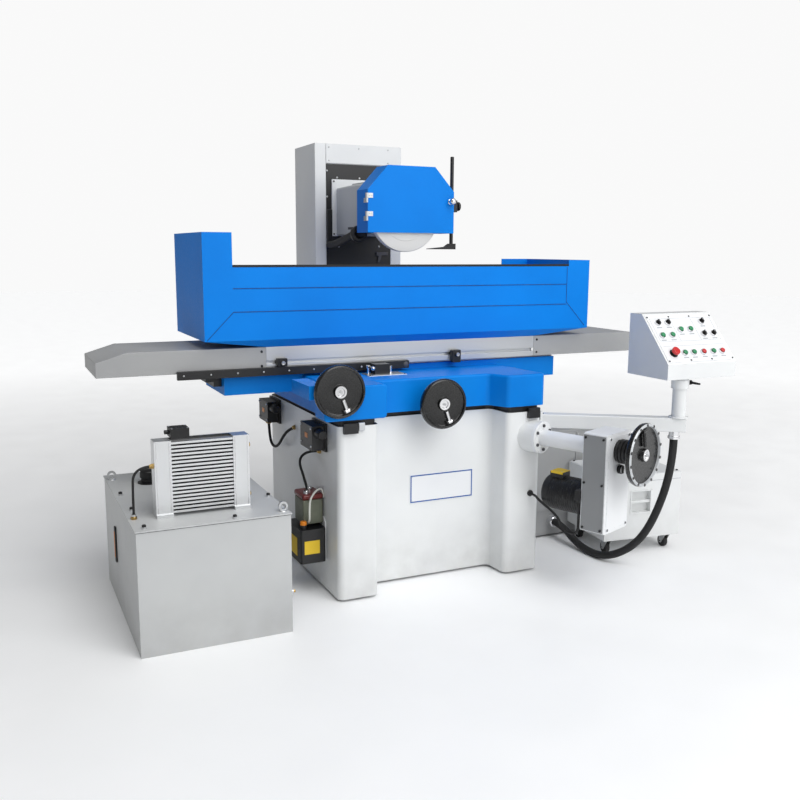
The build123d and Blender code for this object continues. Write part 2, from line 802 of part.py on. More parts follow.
def trip_dog(name, x, bottom):
    """Make a trip dog that slides in the groove along the front of the table."""
    half = DOG_WIDTH / 2
    tongue = GROOVE_WIDTH / 2 - 0.5
    with BuildPart() as dog:
        front = TABLE_FRONT - SLIDE_GAP - DOG_DEPTH
        block(x - half, x + half, front, TABLE_FRONT - SLIDE_GAP, bottom, DOG_TOP)
        fillet(dog.edges().filter_by(Axis.Y), 5)
        block(
            x - half,
            x + half,
            TABLE_FRONT - SLIDE_GAP,
            TABLE_FRONT + GROOVE_DEPTH - 2,
            GROOVE_HEIGHT - tongue,
            GROOVE_HEIGHT + tongue,
        )
        drum(facing_front(x, front, GROOVE_HEIGHT - 2), 11, 5)
    save(dog, name)


trip_dog("trip_dog_left", DOG_LEFT, rack_top + 2)
trip_dog("trip_dog_right", DOG_RIGHT, rack_top + 2 - 24)

with BuildPart() as magnetic_chuck:
    chuck_front = TABLE_FRONT + CHUCK_SIDE_INSET
    chuck_back = TABLE_BACK - CHUCK_SIDE_INSET
    block(
        -CHUCK_HALF_LENGTH,
        CHUCK_HALF_LENGTH,
        chuck_front,
        chuck_back,
        TABLE_TOP,
        TABLE_TOP + CHUCK_HEIGHT,
    )
    for side in (-1, 1):
        end = side * CHUCK_HALF_LENGTH
        far = end + side * 24
        block(min(end, far), max(end, far), chuck_front, chuck_back, TABLE_TOP, TABLE_TOP + 22)
save(magnetic_chuck, "magnetic_chuck")

tray_bottom = [
    (TABLE_LEFT, TABLE_FRONT),
    (TABLE_RIGHT, TABLE_FRONT),
    (TABLE_RIGHT, TABLE_BACK),
    (TABLE_LEFT, TABLE_BACK),
]
tray_top = [
    (-GUARD_HALF_LENGTH, GUARD_FRONT),
    (GUARD_HALF_LENGTH, GUARD_FRONT),
    (GUARD_HALF_LENGTH, GUARD_BACK),
    (-GUARD_HALF_LENGTH, GUARD_BACK),
]


def tray_layer(points, height):
    """Give one level face of the sloping tray."""
    with BuildSketch(Plane.XY.offset(height), mode=Mode.PRIVATE) as layer:
        with BuildLine():
            Polyline(*points, close=True)
        make_face()
    return layer.sketch


with BuildPart() as splash_guard:
    loft([tray_layer(tray_bottom, TABLE_TOP), tray_layer(tray_top, GUARD_BOTTOM)])
    loft(
        [
            tray_layer(tray_bottom, TABLE_TOP + SHEET),
            tray_layer(tray_top, GUARD_BOTTOM + SHEET),
        ],
        mode=Mode.SUBTRACT,
    )
    block(
        -CHUCK_HALF_LENGTH - 30,
        CHUCK_HALF_LENGTH + 30,
        TABLE_FRONT + 2,
        TABLE_BACK - 2,
        TABLE_TOP,
        TABLE_TOP + SHEET,
        mode=Mode.SUBTRACT,
    )
    block(
        -GUARD_HALF_LENGTH,
        GUARD_HALF_LENGTH,
        GUARD_FRONT,
        GUARD_FRONT + SHEET,
        GUARD_BOTTOM,
        GUARD_TOP,
    )
    block(
        -GUARD_HALF_LENGTH,
        GUARD_HALF_LENGTH,
        GUARD_BACK - SHEET,
        GUARD_BACK,
        GUARD_BOTTOM,
        GUARD_BACK_TOP,
    )
    for side, top in ((-1, GUARD_LEFT_TOP), (1, GUARD_RIGHT_TOP)):
        outer = side * GUARD_HALF_LENGTH
        post = side * (GUARD_HALF_LENGTH - GUARD_POST)
        sheet = side * (GUARD_HALF_LENGTH - SHEET)
        block(min(outer, sheet), max(outer, sheet), GUARD_FRONT, GUARD_BACK, GUARD_BOTTOM, top)
        block(min(outer, post), max(outer, post), GUARD_FRONT, GUARD_FRONT + SHEET, GUARD_BOTTOM, top)
    for side, top in ((-1, GUARD_LEFT_TOP), (1, GUARD_RIGHT_TOP)):
        outer = side * GUARD_HALF_LENGTH
        inner = side * BACK_SCREEN_LEFT
        block(min(outer, inner), max(outer, inner), GUARD_BACK - SHEET, GUARD_BACK, GUARD_BOTTOM, top)
    rib_end = GUARD_HALF_LENGTH - GUARD_POST
    for height in GUARD_RIB:
        block(
            -rib_end,
            rib_end,
            GUARD_FRONT,
            GUARD_FRONT + 1,
            height - 2,
            height + 2,
            mode=Mode.SUBTRACT,
        )
save(splash_guard, "splash_guard")


# =========================================================================================
# Handwheels with folding grips
# =========================================================================================
def grip_frame(face, radius, angle):
    """Give the hinge plane of a folding grip: X to the hub, Y out, Z along the hinge pin."""
    turn = math.radians(angle)
    outward = face.x_dir * math.cos(turn) + face.y_dir * math.sin(turn)
    centre = face.origin + outward * (radius - GRIP_INSET) - face.z_dir * (WHEEL_DISH / 3)
    return Plane(origin=centre, x_dir=outward * -1, z_dir=face.z_dir.cross(outward))


def handwheel(name, face, radius, shaft_length, angle):
    """Make a dished handwheel whose front face lies on a plane, with a shaft behind it."""
    hinge = grip_frame(face, radius, angle)
    with BuildPart() as wheel:
        drum(face.offset(-WHEEL_DISC), radius, WHEEL_DISC)
        rim = wheel.edges().filter_by(GeomType.CIRCLE)
        fillet(rim, 7)
        with BuildSketch(face, mode=Mode.PRIVATE) as dish:
            Circle(radius - WHEEL_RIM)
            Circle(WHEEL_HUB_RADIUS, mode=Mode.SUBTRACT)
        extrude(dish.sketch, amount=-WHEEL_DISH, mode=Mode.SUBTRACT)
        for low in (-10 - SLIDE_GAP - 7, 10 + SLIDE_GAP):
            ear = [(-9, -12), (9, -12), (9, 8), (-9, 8)]
            outline(ear, hinge.offset(low), 7)
        drum(hinge.offset(-18), GRIP_PIN + RUN_FIT, 36, mode=Mode.SUBTRACT)
        drum(face.offset(-WHEEL_DISC - shaft_length), SHAFT_RADIUS, shaft_length)
    save(wheel, name)


def folding_grip(name, face, radius, length, angle):
    """Make the grip that folds into the dish of a handwheel."""
    hinge = grip_frame(face, radius, angle)
    handle = Plane(origin=hinge.origin, x_dir=hinge.z_dir, z_dir=hinge.x_dir)
    with BuildPart() as grip:
        drum(hinge.offset(-10), GRIP_RADIUS + 1, 20)
        drum(handle, GRIP_RADIUS, length)
        drum(hinge.offset(-17), GRIP_PIN, 34)
    save(grip, name)


table_face = facing_front(TABLE_WHEEL.X, TABLE_WHEEL.Y, TABLE_WHEEL.Z)
cross_face = facing_front(CROSS_WHEEL.X, CROSS_WHEEL.Y, CROSS_WHEEL.Z)
drive_face = drive_plane(ELEV_WHEEL_FACE)
table_shaft = box_front - TABLE_WHEEL.Y - WHEEL_DISC + SHAFT_SEAT - 5
cross_shaft = SADDLE_FRONT - CROSS_WHEEL.Y - WHEEL_DISC + SHAFT_SEAT - 5
case_end = CASE_START + CASE_DEPTH
neck_end = case_end + NECK_LENGTH
drive_shaft = ELEV_WHEEL_FACE - WHEEL_DISC - neck_end + SHAFT_SEAT - 5

handwheel("table_handwheel", table_face, HANDWHEEL_RADIUS, table_shaft, GRIP_ANGLE)
folding_grip("table_grip", table_face, HANDWHEEL_RADIUS, 52, GRIP_ANGLE)
handwheel("cross_handwheel", cross_face, HANDWHEEL_RADIUS, cross_shaft, GRIP_ANGLE)
folding_grip("cross_grip", cross_face, HANDWHEEL_RADIUS, 52, GRIP_ANGLE)
handwheel("elevation_handwheel", drive_face, ELEV_WHEEL_RADIUS, drive_shaft, DRIVE_GRIP_ANGLE)
folding_grip("elevation_grip", drive_face, ELEV_WHEEL_RADIUS, 72, DRIVE_GRIP_ANGLE)

# =========================================================================================
# Elevating drive
# =========================================================================================
case_low = CASE_BOTTOM - DRIVE_ORIGIN.Z
case_high = CASE_TOP - DRIVE_ORIGIN.Z
case_outline = [
    (-CASE_HALF_WIDTH, case_low),
    (CASE_HALF_WIDTH, case_low),
    (CASE_HALF_WIDTH, case_high),
    (-CASE_HALF_WIDTH, case_high),
]
cover_outline = [
    (-CASE_HALF_WIDTH - CASE_COVER, case_low + 4),
    (-CASE_HALF_WIDTH, case_low + 4),
    (-CASE_HALF_WIDTH, case_high - 4),
    (-CASE_HALF_WIDTH - CASE_COVER, case_high - 4),
]
knob_face = drive_plane(case_end, KNOB_ACROSS, KNOB_HEIGHT - DRIVE_ORIGIN.Z)
with BuildPart() as elevation_housing:
    drum(drive_plane(0), FLANGE_RADIUS, 16)
    drum(drive_plane(16), TUBE_RADIUS, CASE_START - 16)
    outline(case_outline, drive_plane(CASE_START), CASE_DEPTH, radius=10)
    outline(cover_outline, drive_plane(CASE_START), CASE_DEPTH)
    for across in (-80, 80):
        drum(drive_plane(case_end, across, case_low + 20), 7, 5)
        drum(drive_plane(case_end, across, case_high - 20), 7, 5)
    drum(drive_plane(case_end), NECK_RADIUS, NECK_LENGTH)
    drum(drive_plane(neck_end - SHAFT_SEAT), SHAFT_RADIUS + RUN_FIT, SHAFT_SEAT, Mode.SUBTRACT)
    drum(knob_face.offset(-20), KNOB_SHAFT + RUN_FIT, 20, Mode.SUBTRACT)
save(elevation_housing, "elevation_housing")

with BuildPart() as elevation_knob:
    drum(knob_face.offset(-18), KNOB_SHAFT, 18 + 4)
    drum(knob_face.offset(2), KNOB_RADIUS, 16)
    outline([(-4, -16), (4, -16), (4, 16), (-4, 16)], knob_face.offset(18), 7)
save(elevation_knob, "elevation_knob")

motor_drop = MOTOR_HEIGHT - DRIVE_ORIGIN.Z
gland_across = -101.2
with BuildPart() as elevation_motor:
    motor_length = CASE_START - MOTOR_START
    drum(drive_plane(MOTOR_START, 0, motor_drop), MOTOR_RADIUS, motor_length)
    rear_edge = elevation_motor.edges().filter_by(GeomType.CIRCLE).sort_by(Axis.Y)[-1]
    fillet(rear_edge, 14)
    outline(
        [
            (-30, MOTOR_RADIUS - 8),
            (30, MOTOR_RADIUS - 8),
            (30, MOTOR_RADIUS + 22),
            (-30, MOTOR_RADIUS + 22),
        ],
        drive_plane(MOTOR_START + 22, 0, motor_drop),
        70,
        radius=4,
    )
    outline(
        [
            (gland_across - 14, 15),
            (-MOTOR_RADIUS + 20, 15),
            (-MOTOR_RADIUS + 20, 60),
            (gland_across - 14, 60),
        ],
        drive_plane(CASE_START - 28, 0, motor_drop),
        28,
    )
    gland_place = drive_point(MOTOR_GLAND_ALONG, gland_across)
    drum(level(gland_place.X, gland_place.Y, MOTOR_GLAND_HEIGHT), 10, 15)
save(elevation_motor, "elevation_motor")

# =========================================================================================
# Control pendant
# =========================================================================================
arm_run = Vector(POST.X - ARM_ROOT.X, POST.Y - ARM_ROOT.Y, 0)
arm_dir = arm_run.normalized()
arm_plane = Plane(
    origin=Vector(ARM_ROOT.X, ARM_ROOT.Y, ARM_TOP - ARM_SIDE / 2) + arm_dir * ARM_START,
    x_dir=arm_dir.cross(Vector(0, 0, 1)),
    z_dir=arm_dir,
)
conduit_exit = Vector(CONDUIT_POINTS[0])
with BuildPart() as pendant_arm:
    block(BASE_HALF_WIDTH, ARM_ROOT.X, -690, -560, 690, 790)
    arm_length = arm_run.length + POST_RADIUS - ARM_START
    half = ARM_SIDE / 2
    outline([(-half, -half), (half, -half), (half, half), (-half, half)], arm_plane, arm_length, radius=5)
    block(
        BASE_HALF_WIDTH - 60,
        BASE_HALF_WIDTH,
        ARM_ROOT.Y - 100,
        ARM_ROOT.Y + 100,
        600,
        800,
        mode=Mode.SUBTRACT,
    )
    drum(level(POST.X, POST.Y, ARM_TOP - 2), POST_RADIUS, POST_TOP - ARM_TOP + 2)
    drum(level(POST.X, POST.Y, POST_TOP - COLLAR_HEIGHT), COLLAR_RADIUS, COLLAR_HEIGHT)
    drum(
        level(POST.X, POST.Y, POST_TOP - 50),
        PIVOT_RADIUS + RUN_FIT,
        50,
        mode=Mode.SUBTRACT,
    )
    fitting_top = ARM_TOP - ARM_SIDE
    drum(
        level(conduit_exit.X, conduit_exit.Y, conduit_exit.Z),
        CONDUIT_RADIUS + 6,
        fitting_top - conduit_exit.Z,
    )
save(pendant_arm, "pendant_arm")

with BuildPart() as swivel_clamp:
    lever_plane = Plane(
        origin=(POST.X + COLLAR_RADIUS, POST.Y, POST_TOP - 18), x_dir=(0, 1, 0), z_dir=(1, 0, 0)
    )
    drum(lever_plane, 9, 14)
    drum(lever_plane.offset(14), 11, 12)
    outline([(0, -6), (0, 6), (-62, 4), (-62, -4)], lever_plane.offset(16), 9)
save(swivel_clamp, "swivel_clamp")

box_profile = [
    (BOX_FRONT, BOX_BOTTOM),
    (BOX_BACK, BOX_BOTTOM),
    (BOX_BACK, BOX_SLOPE_TOP[1]),
    (BOX_SLOPE_TOP[0], BOX_SLOPE_TOP[1]),
    (BOX_FRONT, BOX_BOTTOM + BOX_LIP),
]
slope_run = Vector(0, BOX_SLOPE_TOP[0] - BOX_FRONT, BOX_SLOPE_TOP[1] - BOX_BOTTOM - BOX_LIP)
slope_dir = slope_run.normalized()
slope_normal = Vector(1, 0, 0).cross(slope_dir)


def on_panel(across, up, out=0.0):
    """Give a plane on the sloping panel, from the box's left side and the panel's low edge."""
    low_edge = Vector(BOX_LEFT, BOX_FRONT, BOX_BOTTOM + BOX_LIP)
    place = low_edge + Vector(across, 0, 0) + slope_dir * (up + PANEL_MARGIN)
    place = place + slope_normal * (PANEL_THICKNESS + out)
    return Plane(origin=place, x_dir=(1, 0, 0), z_dir=slope_normal)


control_places = {
    "selector_1": (59, 225),
    "selector_2": (118, 225),
    "selector_3": (326, 225),
    "selector_4": (301, 152),
    "selector_5": (360, 152),
    "green_button_1": (174, 182),
    "green_button_2": (233, 182),
    "green_button_3": (48, 152),
    "green_button_4": (107, 152),
    "green_button_5": (125, 48),
    "green_button_6": (179, 48),
    "green_button_7": (299, 48),
    "red_button_1": (239, 48),
    "red_button_2": (354, 48),
    "emergency_stop": (62, 50),
}
with BuildPart() as control_box:
    box_side = Plane(origin=(BOX_LEFT, 0, 0), x_dir=(0, 1, 0), z_dir=(1, 0, 0))
    outline(box_profile, box_side, BOX_RIGHT - BOX_LEFT)
    drum(level(POST.X, POST.Y, POST_TOP + SLIDE_GAP), PAD_RADIUS, BOX_BOTTOM - POST_TOP)
    drum(level(POST.X, POST.Y, POST_TOP - 40), PIVOT_RADIUS, 42)
    with BuildSketch(on_panel((BOX_RIGHT - BOX_LEFT) / 2, slope_run.length / 2 - PANEL_MARGIN, -PANEL_THICKNESS)):
        Rectangle(BOX_RIGHT - BOX_LEFT - 2 * PANEL_MARGIN, slope_run.length - 2 * PANEL_MARGIN)
    extrude(amount=PANEL_THICKNESS)
    for across, up in control_places.values():
        drum(on_panel(across, up), BEZEL_RADIUS, BEZEL_HEIGHT)
    for across, up in control_places.values():
        drum(
            on_panel(across, up, -BORE_DEPTH),
            PLUNGER_RADIUS + RUN_FIT,
            BORE_DEPTH + BEZEL_HEIGHT,
            mode=Mode.SUBTRACT,
        )
save(control_box, "control_box")

for name, (across, up) in control_places.items():
    with BuildPart() as control:
        if name.startswith("selector"):
            drum(on_panel(across, up, -BORE_DEPTH + 2), PLUNGER_RADIUS, BORE_DEPTH + BEZEL_HEIGHT)
            bar = [(-4, -11), (4, -11), (4, 11), (-4, 11)]
            outline(bar, on_panel(across, up, BEZEL_HEIGHT), 12)
        elif name == "emergency_stop":
            stem = BORE_DEPTH + BEZEL_HEIGHT + 3
            drum(on_panel(across, up, -BORE_DEPTH + PRESS_TRAVEL + 2), PLUNGER_RADIUS, stem)
            drum(on_panel(across, up, BEZEL_HEIGHT + STOP_TRAVEL + 1), STOP_RADIUS, 14)
            top_edge = control.edges().filter_by(GeomType.CIRCLE).sort_by(Axis.Z)[-1]
            fillet(top_edge, 5)
        else:
            stem = BORE_DEPTH + BEZEL_HEIGHT
            drum(on_panel(across, up, -BORE_DEPTH + PRESS_TRAVEL + 2), PLUNGER_RADIUS, stem)
    save(control, name)

# =========================================================================================
# Hydraulic power pack with its oil cooler
# =========================================================================================
tank_left, tank_right, tank_front, tank_back = TANK
with BuildPart() as hydraulic_tank:
    block(tank_left, tank_right, tank_front, tank_back, 0, TANK_HEIGHT)
    block(
        tank_left + TANK_WALL,
        tank_right - TANK_WALL,
        tank_front + TANK_WALL,
        tank_back - TANK_WALL,
        TANK_WALL,
        TANK_HEIGHT,
        mode=Mode.SUBTRACT,
    )
    block(
        tank_left - LID_OVERHANG,
        tank_right + LID_OVERHANG,
        tank_front - LID_OVERHANG,
        tank_back + LID_OVERHANG,
        TANK_HEIGHT,
        TANK_HEIGHT + LID_THICKNESS,
    )
    drain = Plane(origin=(tank_right, tank_front + 70, DRAIN_HEIGHT), x_dir=(0, 1, 0), z_dir=(1, 0, 0))
    drum(drain, 16, 14)
    drum(drain.offset(14), 11, 12)
    lid_top = TANK_HEIGHT + LID_THICKNESS
    for x, y in LID_BOLTS:
        drum(level(x, y, lid_top), 9, 7)
    for x, y in LIFTING_EYES:
        with BuildSketch(Plane(origin=(x, y - 5, lid_top + 20), x_dir=(1, 0, 0), z_dir=(0, 1, 0))):
            Circle(20)
            Circle(11, mode=Mode.SUBTRACT)
        extrude(amount=10)
    drum(level(COOLER_HOSE_POINTS[-1][0], COOLER_HOSE_POINTS[-1][1], lid_top), 9, 20)
save(hydraulic_tank, "hydraulic_tank")

cool_left, cool_right, cool_bottom, cool_top = COOLER
core_left = cool_left + COOLER_END
core_right = cool_right - COOLER_END
shroud_back = COOLER_FRONT + COOLER_DEPTH
with BuildPart() as oil_cooler:
    for left, right in ((cool_left, core_left), (core_right, cool_right)):
        block(left, right, COOLER_FRONT, shroud_back, cool_bottom, cool_top)
        block(left, right, COOLER_FRONT - 10, shroud_back + 20, lid_top, cool_bottom)
    fin_pitch = (cool_top - cool_bottom) / FIN_COUNT
    for index in range(FIN_COUNT):
        low = cool_bottom + index * fin_pitch
        block(core_left, core_right, COOLER_FRONT + 4, shroud_back, low, low + fin_pitch * 0.55)
    block(cool_left, cool_right, shroud_back, shroud_back + 12, cool_bottom, cool_top)
    with BuildSketch(facing_front(FAN_X, shroud_back + 12, FAN_HEIGHT)):
        Circle(FAN_RADIUS + 30)
    with BuildSketch(facing_front(FAN_X, shroud_back + SHROUD_LENGTH, FAN_HEIGHT)):
        Circle(FAN_RADIUS + 12)
    loft()
    drum(facing_front(FAN_X, shroud_back + SHROUD_LENGTH, FAN_HEIGHT), FAN_RADIUS + 6, SHROUD_LENGTH, Mode.SUBTRACT)
    motor_face = facing_front(FAN_X, shroud_back + SHROUD_LENGTH + FAN_MOTOR_LENGTH, FAN_HEIGHT)
    drum(motor_face, FAN_MOTOR_RADIUS, FAN_MOTOR_LENGTH - 2)
    drum(
        facing_front(FAN_X, shroud_back + SHROUD_LENGTH + 30, FAN_HEIGHT),
        FAN_SHAFT + RUN_FIT,
        30,
        Mode.SUBTRACT,
    )
    for turn in (0, 90):
        with BuildSketch(facing_front(FAN_X, shroud_back + SHROUD_LENGTH + 8, FAN_HEIGHT)):
            Rectangle(2 * FAN_RADIUS + 20, 14, rotation=turn + 45)
            Circle(FAN_SHAFT + RUN_FIT, mode=Mode.SUBTRACT)
        extrude(amount=8)
    block(-1232, -1158, shroud_back - 15, shroud_back + 60, cool_top, cool_top + 37)
    hose_x, hose_y, hose_z = COOLER_HOSE_POINTS[0]
    stub = Plane(origin=(cool_left, hose_y, hose_z), x_dir=(0, 1, 0), z_dir=(-1, 0, 0))
    drum(stub, 9, cool_left - hose_x)
save(oil_cooler, "oil_cooler")

with BuildPart() as cooler_fan:
    fan_back = shroud_back + SHROUD_LENGTH - 12
    drum(facing_front(FAN_X, fan_back, FAN_HEIGHT), 26, 30)
    drum(facing_front(FAN_X, fan_back + 34, FAN_HEIGHT), FAN_SHAFT, 34)
    with BuildSketch(facing_front(FAN_X, fan_back - 4, FAN_HEIGHT)):
        with PolarLocations(0, FAN_BLADES):
            with Locations((FAN_RADIUS / 2 + 8, 0)):
                Rectangle(FAN_RADIUS - 22, 44)
    extrude(amount=4)
save(cooler_fan, "cooler_fan")

# =========================================================================================
# Coolant tank on casters and electrical cabinet
# =========================================================================================
coolant_turn = math.radians(COOLANT_ANGLE)
coolant_x = Vector(math.cos(coolant_turn), -math.sin(coolant_turn), 0)
coolant_y = Vector(math.sin(coolant_turn), math.cos(coolant_turn), 0)


def coolant_plane(across, inward, height):
    """Give a level plane in the coolant tank's own directions."""
    place = COOLANT_CORNER + coolant_x * across + coolant_y * inward + Vector(0, 0, height)
    return Plane(origin=place, x_dir=coolant_x, z_dir=(0, 0, 1))


def coolant_block(across, inward, bottom, width, depth, height, mode=Mode.ADD):
    """Add a box given in the coolant tank's own directions."""
    corners = [(0, 0), (width, 0), (width, depth), (0, depth)]
    outline(corners, coolant_plane(across, inward, bottom), height, mode=mode)


front_casters = (CASTER_INSET, COOLANT_WIDTH - CASTER_INSET)
axle_inward = COOLANT_DEPTH - CASTER_INSET
with BuildPart() as coolant_tank:
    coolant_block(0, 0, COOLANT_BOTTOM, COOLANT_WIDTH, COOLANT_DEPTH, COOLANT_TOP - COOLANT_BOTTOM)
    coolant_block(
        TANK_WALL,
        TANK_WALL,
        COOLANT_BOTTOM + 20,
        COOLANT_WIDTH - 2 * TANK_WALL,
        COOLANT_DEPTH - 2 * TANK_WALL,
        COOLANT_TOP - COOLANT_BOTTOM - 20 - SHEET,
        mode=Mode.SUBTRACT,
    )
    coolant_block(145, 0, HANDLE_BOTTOM - 6, 127, 36, 127)
    coolant_block(151, -1, HANDLE_BOTTOM, 115, 31, 115, mode=Mode.SUBTRACT)
    coolant_block(151, 4, HANDLE_BOTTOM + 50, 115, 14, 14)
    for across in front_casters:
        drum(
            coolant_plane(across, CASTER_INSET, COOLANT_BOTTOM),
            KINGPIN + RUN_FIT,
            16,
            mode=Mode.SUBTRACT,
        )
    for across in front_casters:
        for side in (-1, 1):
            low = across + side * (AXLE_CHEEK + 3) - 3
            coolant_block(low, axle_inward - 14, CASTER_RADIUS - 12, 6, 28, COOLANT_BOTTOM - CASTER_RADIUS + 12)
    axle_plane = Plane(
        origin=coolant_plane(0, axle_inward, CASTER_RADIUS).origin, x_dir=coolant_y, z_dir=coolant_x
    )
    drum(axle_plane, AXLE + RUN_FIT, COOLANT_WIDTH, mode=Mode.SUBTRACT)
save(coolant_tank, "coolant_tank")

with BuildPart() as rear_axle:
    first = front_casters[0] - AXLE_CHEEK - 8
    drum(axle_plane.offset(first), AXLE, front_casters[1] + AXLE_CHEEK + 8 - first)
    for across in front_casters:
        drum(axle_plane.offset(across - WHEEL_HALF), CASTER_RADIUS, 2 * WHEEL_HALF)
save(rear_axle, "rear_axle")

for place, across in zip(("left", "right"), front_casters):
    swivel = coolant_plane(across, CASTER_INSET, 0)
    wheel_centre = swivel.origin - coolant_y * -CASTER_TRAIL + Vector(0, 0, CASTER_RADIUS)
    pin_plane = Plane(origin=wheel_centre, x_dir=coolant_y, z_dir=coolant_x)
    crown_top = COOLANT_BOTTOM - SLIDE_GAP
    with BuildPart() as fork:
        drum(coolant_plane(across, CASTER_INSET, crown_top - 8), 24, 8)
        drum(coolant_plane(across, CASTER_INSET, crown_top), KINGPIN, 14)
        cheek_plane = Plane(origin=wheel_centre, x_dir=coolant_y, z_dir=coolant_x)
        cheek_points = [(-8, -9), (8, -9), (12, 43.7), (-40, 43.7)]
        for start in (-AXLE_CHEEK - 4, AXLE_CHEEK):
            outline(cheek_points, cheek_plane.offset(start), 4)
        drum(pin_plane.offset(-30), AXLE + RUN_FIT, 60, mode=Mode.SUBTRACT)
    save(fork, f"caster_fork_{place}")
    with BuildPart() as caster:
        drum(pin_plane.offset(-WHEEL_HALF), CASTER_RADIUS, 2 * WHEEL_HALF)
        drum(pin_plane.offset(-AXLE_CHEEK - 6), AXLE, 2 * AXLE_CHEEK + 12)
    save(caster, f"caster_wheel_{place}")

cab_left, cab_right, cab_front, cab_back = CABINET
with BuildPart() as cabinet:
    block(cab_left, cab_right, cab_front, cab_back, 12, CABINET_TOP)
    block(
        cab_left + SHEET,
        cab_right - SHEET,
        cab_front + SHEET,
        cab_back - SHEET,
        12 + SHEET,
        CABINET_TOP - SHEET,
        mode=Mode.SUBTRACT,
    )
    block(cab_left + 14, CABINET_SEAM - 2, cab_front - 6, cab_front, 150, CABINET_TOP - 16)
    block(CABINET_SEAM + 2, cab_right - 14, cab_front - 6, cab_front, 150, CABINET_TOP - 16)
    for x in (cab_left + 50, cab_right - 50):
        for y in (cab_front + 50, cab_back - 50):
            drum(level(x, y, 0), 25, 12)
    conduit_end = Vector(CONDUIT_POINTS[-1])
    ring = facing_front(conduit_end.X, cab_front, conduit_end.Z)
    drum(ring, CONDUIT_RADIUS + 8, cab_front - conduit_end.Y)
save(cabinet, "cabinet")

# =========================================================================================
# Lubricator and valves on the left side of the base
# =========================================================================================
left_face = -BASE_HALF_WIDTH
with BuildPart() as oiling_gear:
    res_left, res_right, res_front, res_back, res_bottom, res_top = RESERVOIR
    block(res_left, res_right, res_front, res_back, res_bottom, res_top)
    fillet(oiling_gear.edges().filter_by(Axis.Z), 10)
    block(res_right - 6, left_face, res_front + 30, res_back - 30, res_bottom + 20, res_top - 10)
    pump_x = (res_left + res_right) / 2 + 20
    pump_y = (res_front + res_back) / 2
    drum(level(pump_x, pump_y, res_top), 30, 14)
    drum(level(pump_x, pump_y, res_top + 14), 44, 112)
    drum(level(pump_x, pump_y, res_top + 126), 40, 20)
    drum(level(res_left + 24, res_front + 34, res_top), 16, 18)
    for front, back, bottom, top in VALVES:
        block(left_face - 12, left_face, front - 8, back + 8, bottom - 8, top + 8)
        block(left_face - 70, left_face - 12, front, back, bottom, top)
        middle = (front + back) / 2
        drum(facing_front(left_face - 42, front, top - 30), 22, 46)
        drum(level(left_face - 42, middle, bottom - 16), 12, 16)
save(oiling_gear, "oiling_gear")



# =========================================================================================
# Free cords
# =========================================================================================
def bend_radii(points):
    """Give one bend radius per corner, from its two runs and the turn between them."""
    radii = []
    for before, corner, after in zip(points, points[1:], points[2:]):
        run_in = Vector(corner) - Vector(before)
        run_out = Vector(after) - Vector(corner)
        turn = math.radians(run_in.get_angle(run_out))
        shorter = min(run_in.length, run_out.length)
        radii.append(0.45 * shorter / math.tan(turn / 2))
    return radii


def cord(name, points, radius):
    """Sweep a round cord along straight runs joined by tangent arcs."""
    radii = bend_radii(points)
    with BuildPart() as tube:
        with BuildLine():
            route = FilletPolyline(*points, radius=radii)
        with BuildSketch(Plane(origin=points[0], z_dir=route % 0)):
            Circle(radius)
        sweep()
    section = math.pi * radius * radius
    length = route.length
    print(name, "radii", [round(value, 1) for value in radii])
    print(name, "length", round(length, 1), "volume ratio", round(tube.part.volume / section / length, 4))
    save(tube, name)


cord("conduit_hose", CONDUIT_POINTS, CONDUIT_RADIUS)
cord("motor_cable", MOTOR_CABLE_POINTS, MOTOR_CABLE_RADIUS)
cord("cooler_hose", COOLER_HOSE_POINTS, COOLER_HOSE_RADIUS)
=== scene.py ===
"""Surface grinder: finishes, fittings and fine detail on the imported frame.

Metres. X runs to the right along the table, Y to the back, Z up.
"""
from __future__ import annotations

import logging
import math
from dataclasses import dataclass
from enum import Enum
from typing import Callable, Sequence

import bpy
from mathutils import Matrix, Vector


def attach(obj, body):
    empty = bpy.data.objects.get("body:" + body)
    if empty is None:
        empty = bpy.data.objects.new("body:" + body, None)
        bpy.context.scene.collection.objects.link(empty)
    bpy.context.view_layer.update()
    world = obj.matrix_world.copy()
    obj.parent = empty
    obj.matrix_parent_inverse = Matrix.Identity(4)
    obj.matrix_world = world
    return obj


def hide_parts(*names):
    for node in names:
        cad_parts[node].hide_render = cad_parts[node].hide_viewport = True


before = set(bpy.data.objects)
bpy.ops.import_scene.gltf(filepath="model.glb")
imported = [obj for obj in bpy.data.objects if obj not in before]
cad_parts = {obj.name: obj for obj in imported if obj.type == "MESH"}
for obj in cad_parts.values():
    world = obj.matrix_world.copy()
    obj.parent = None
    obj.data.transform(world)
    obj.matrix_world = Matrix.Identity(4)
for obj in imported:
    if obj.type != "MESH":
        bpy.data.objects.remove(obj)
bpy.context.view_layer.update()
LOG = logging.getLogger("grinder")

Point = tuple[float, float, float]
Pair = tuple[float, float]
Rgb = tuple[int, int, int]

COAT_ROUGH = 0.12
EDGE_WIDTH = 0.003
EDGE_TURN = (0.985, 0.86)
DUST_COLOUR: Rgb = (112, 108, 100)
DUST_TOP = 0.32
MERGE_GAP = 2e-6
FLAT_ANGLE = math.radians(0.6)
SMOOTH_ANGLE = math.radians(50.0)


def mm(*values: float) -> Vector:
    """Turn millimetres into a point in metres."""
    return Vector(values) / 1000.0


# ======================================================================================
# Finishes
# ======================================================================================
class Grain(Enum):
    """How a finish varies over its surface."""

    EVEN = (1.0, 1.0, 1.0)
    ALONG_X = (0.02, 1.0, 1.0)
    ALONG_Y = (1.0, 0.02, 1.0)
    ALONG_Z = (1.0, 1.0, 0.02)


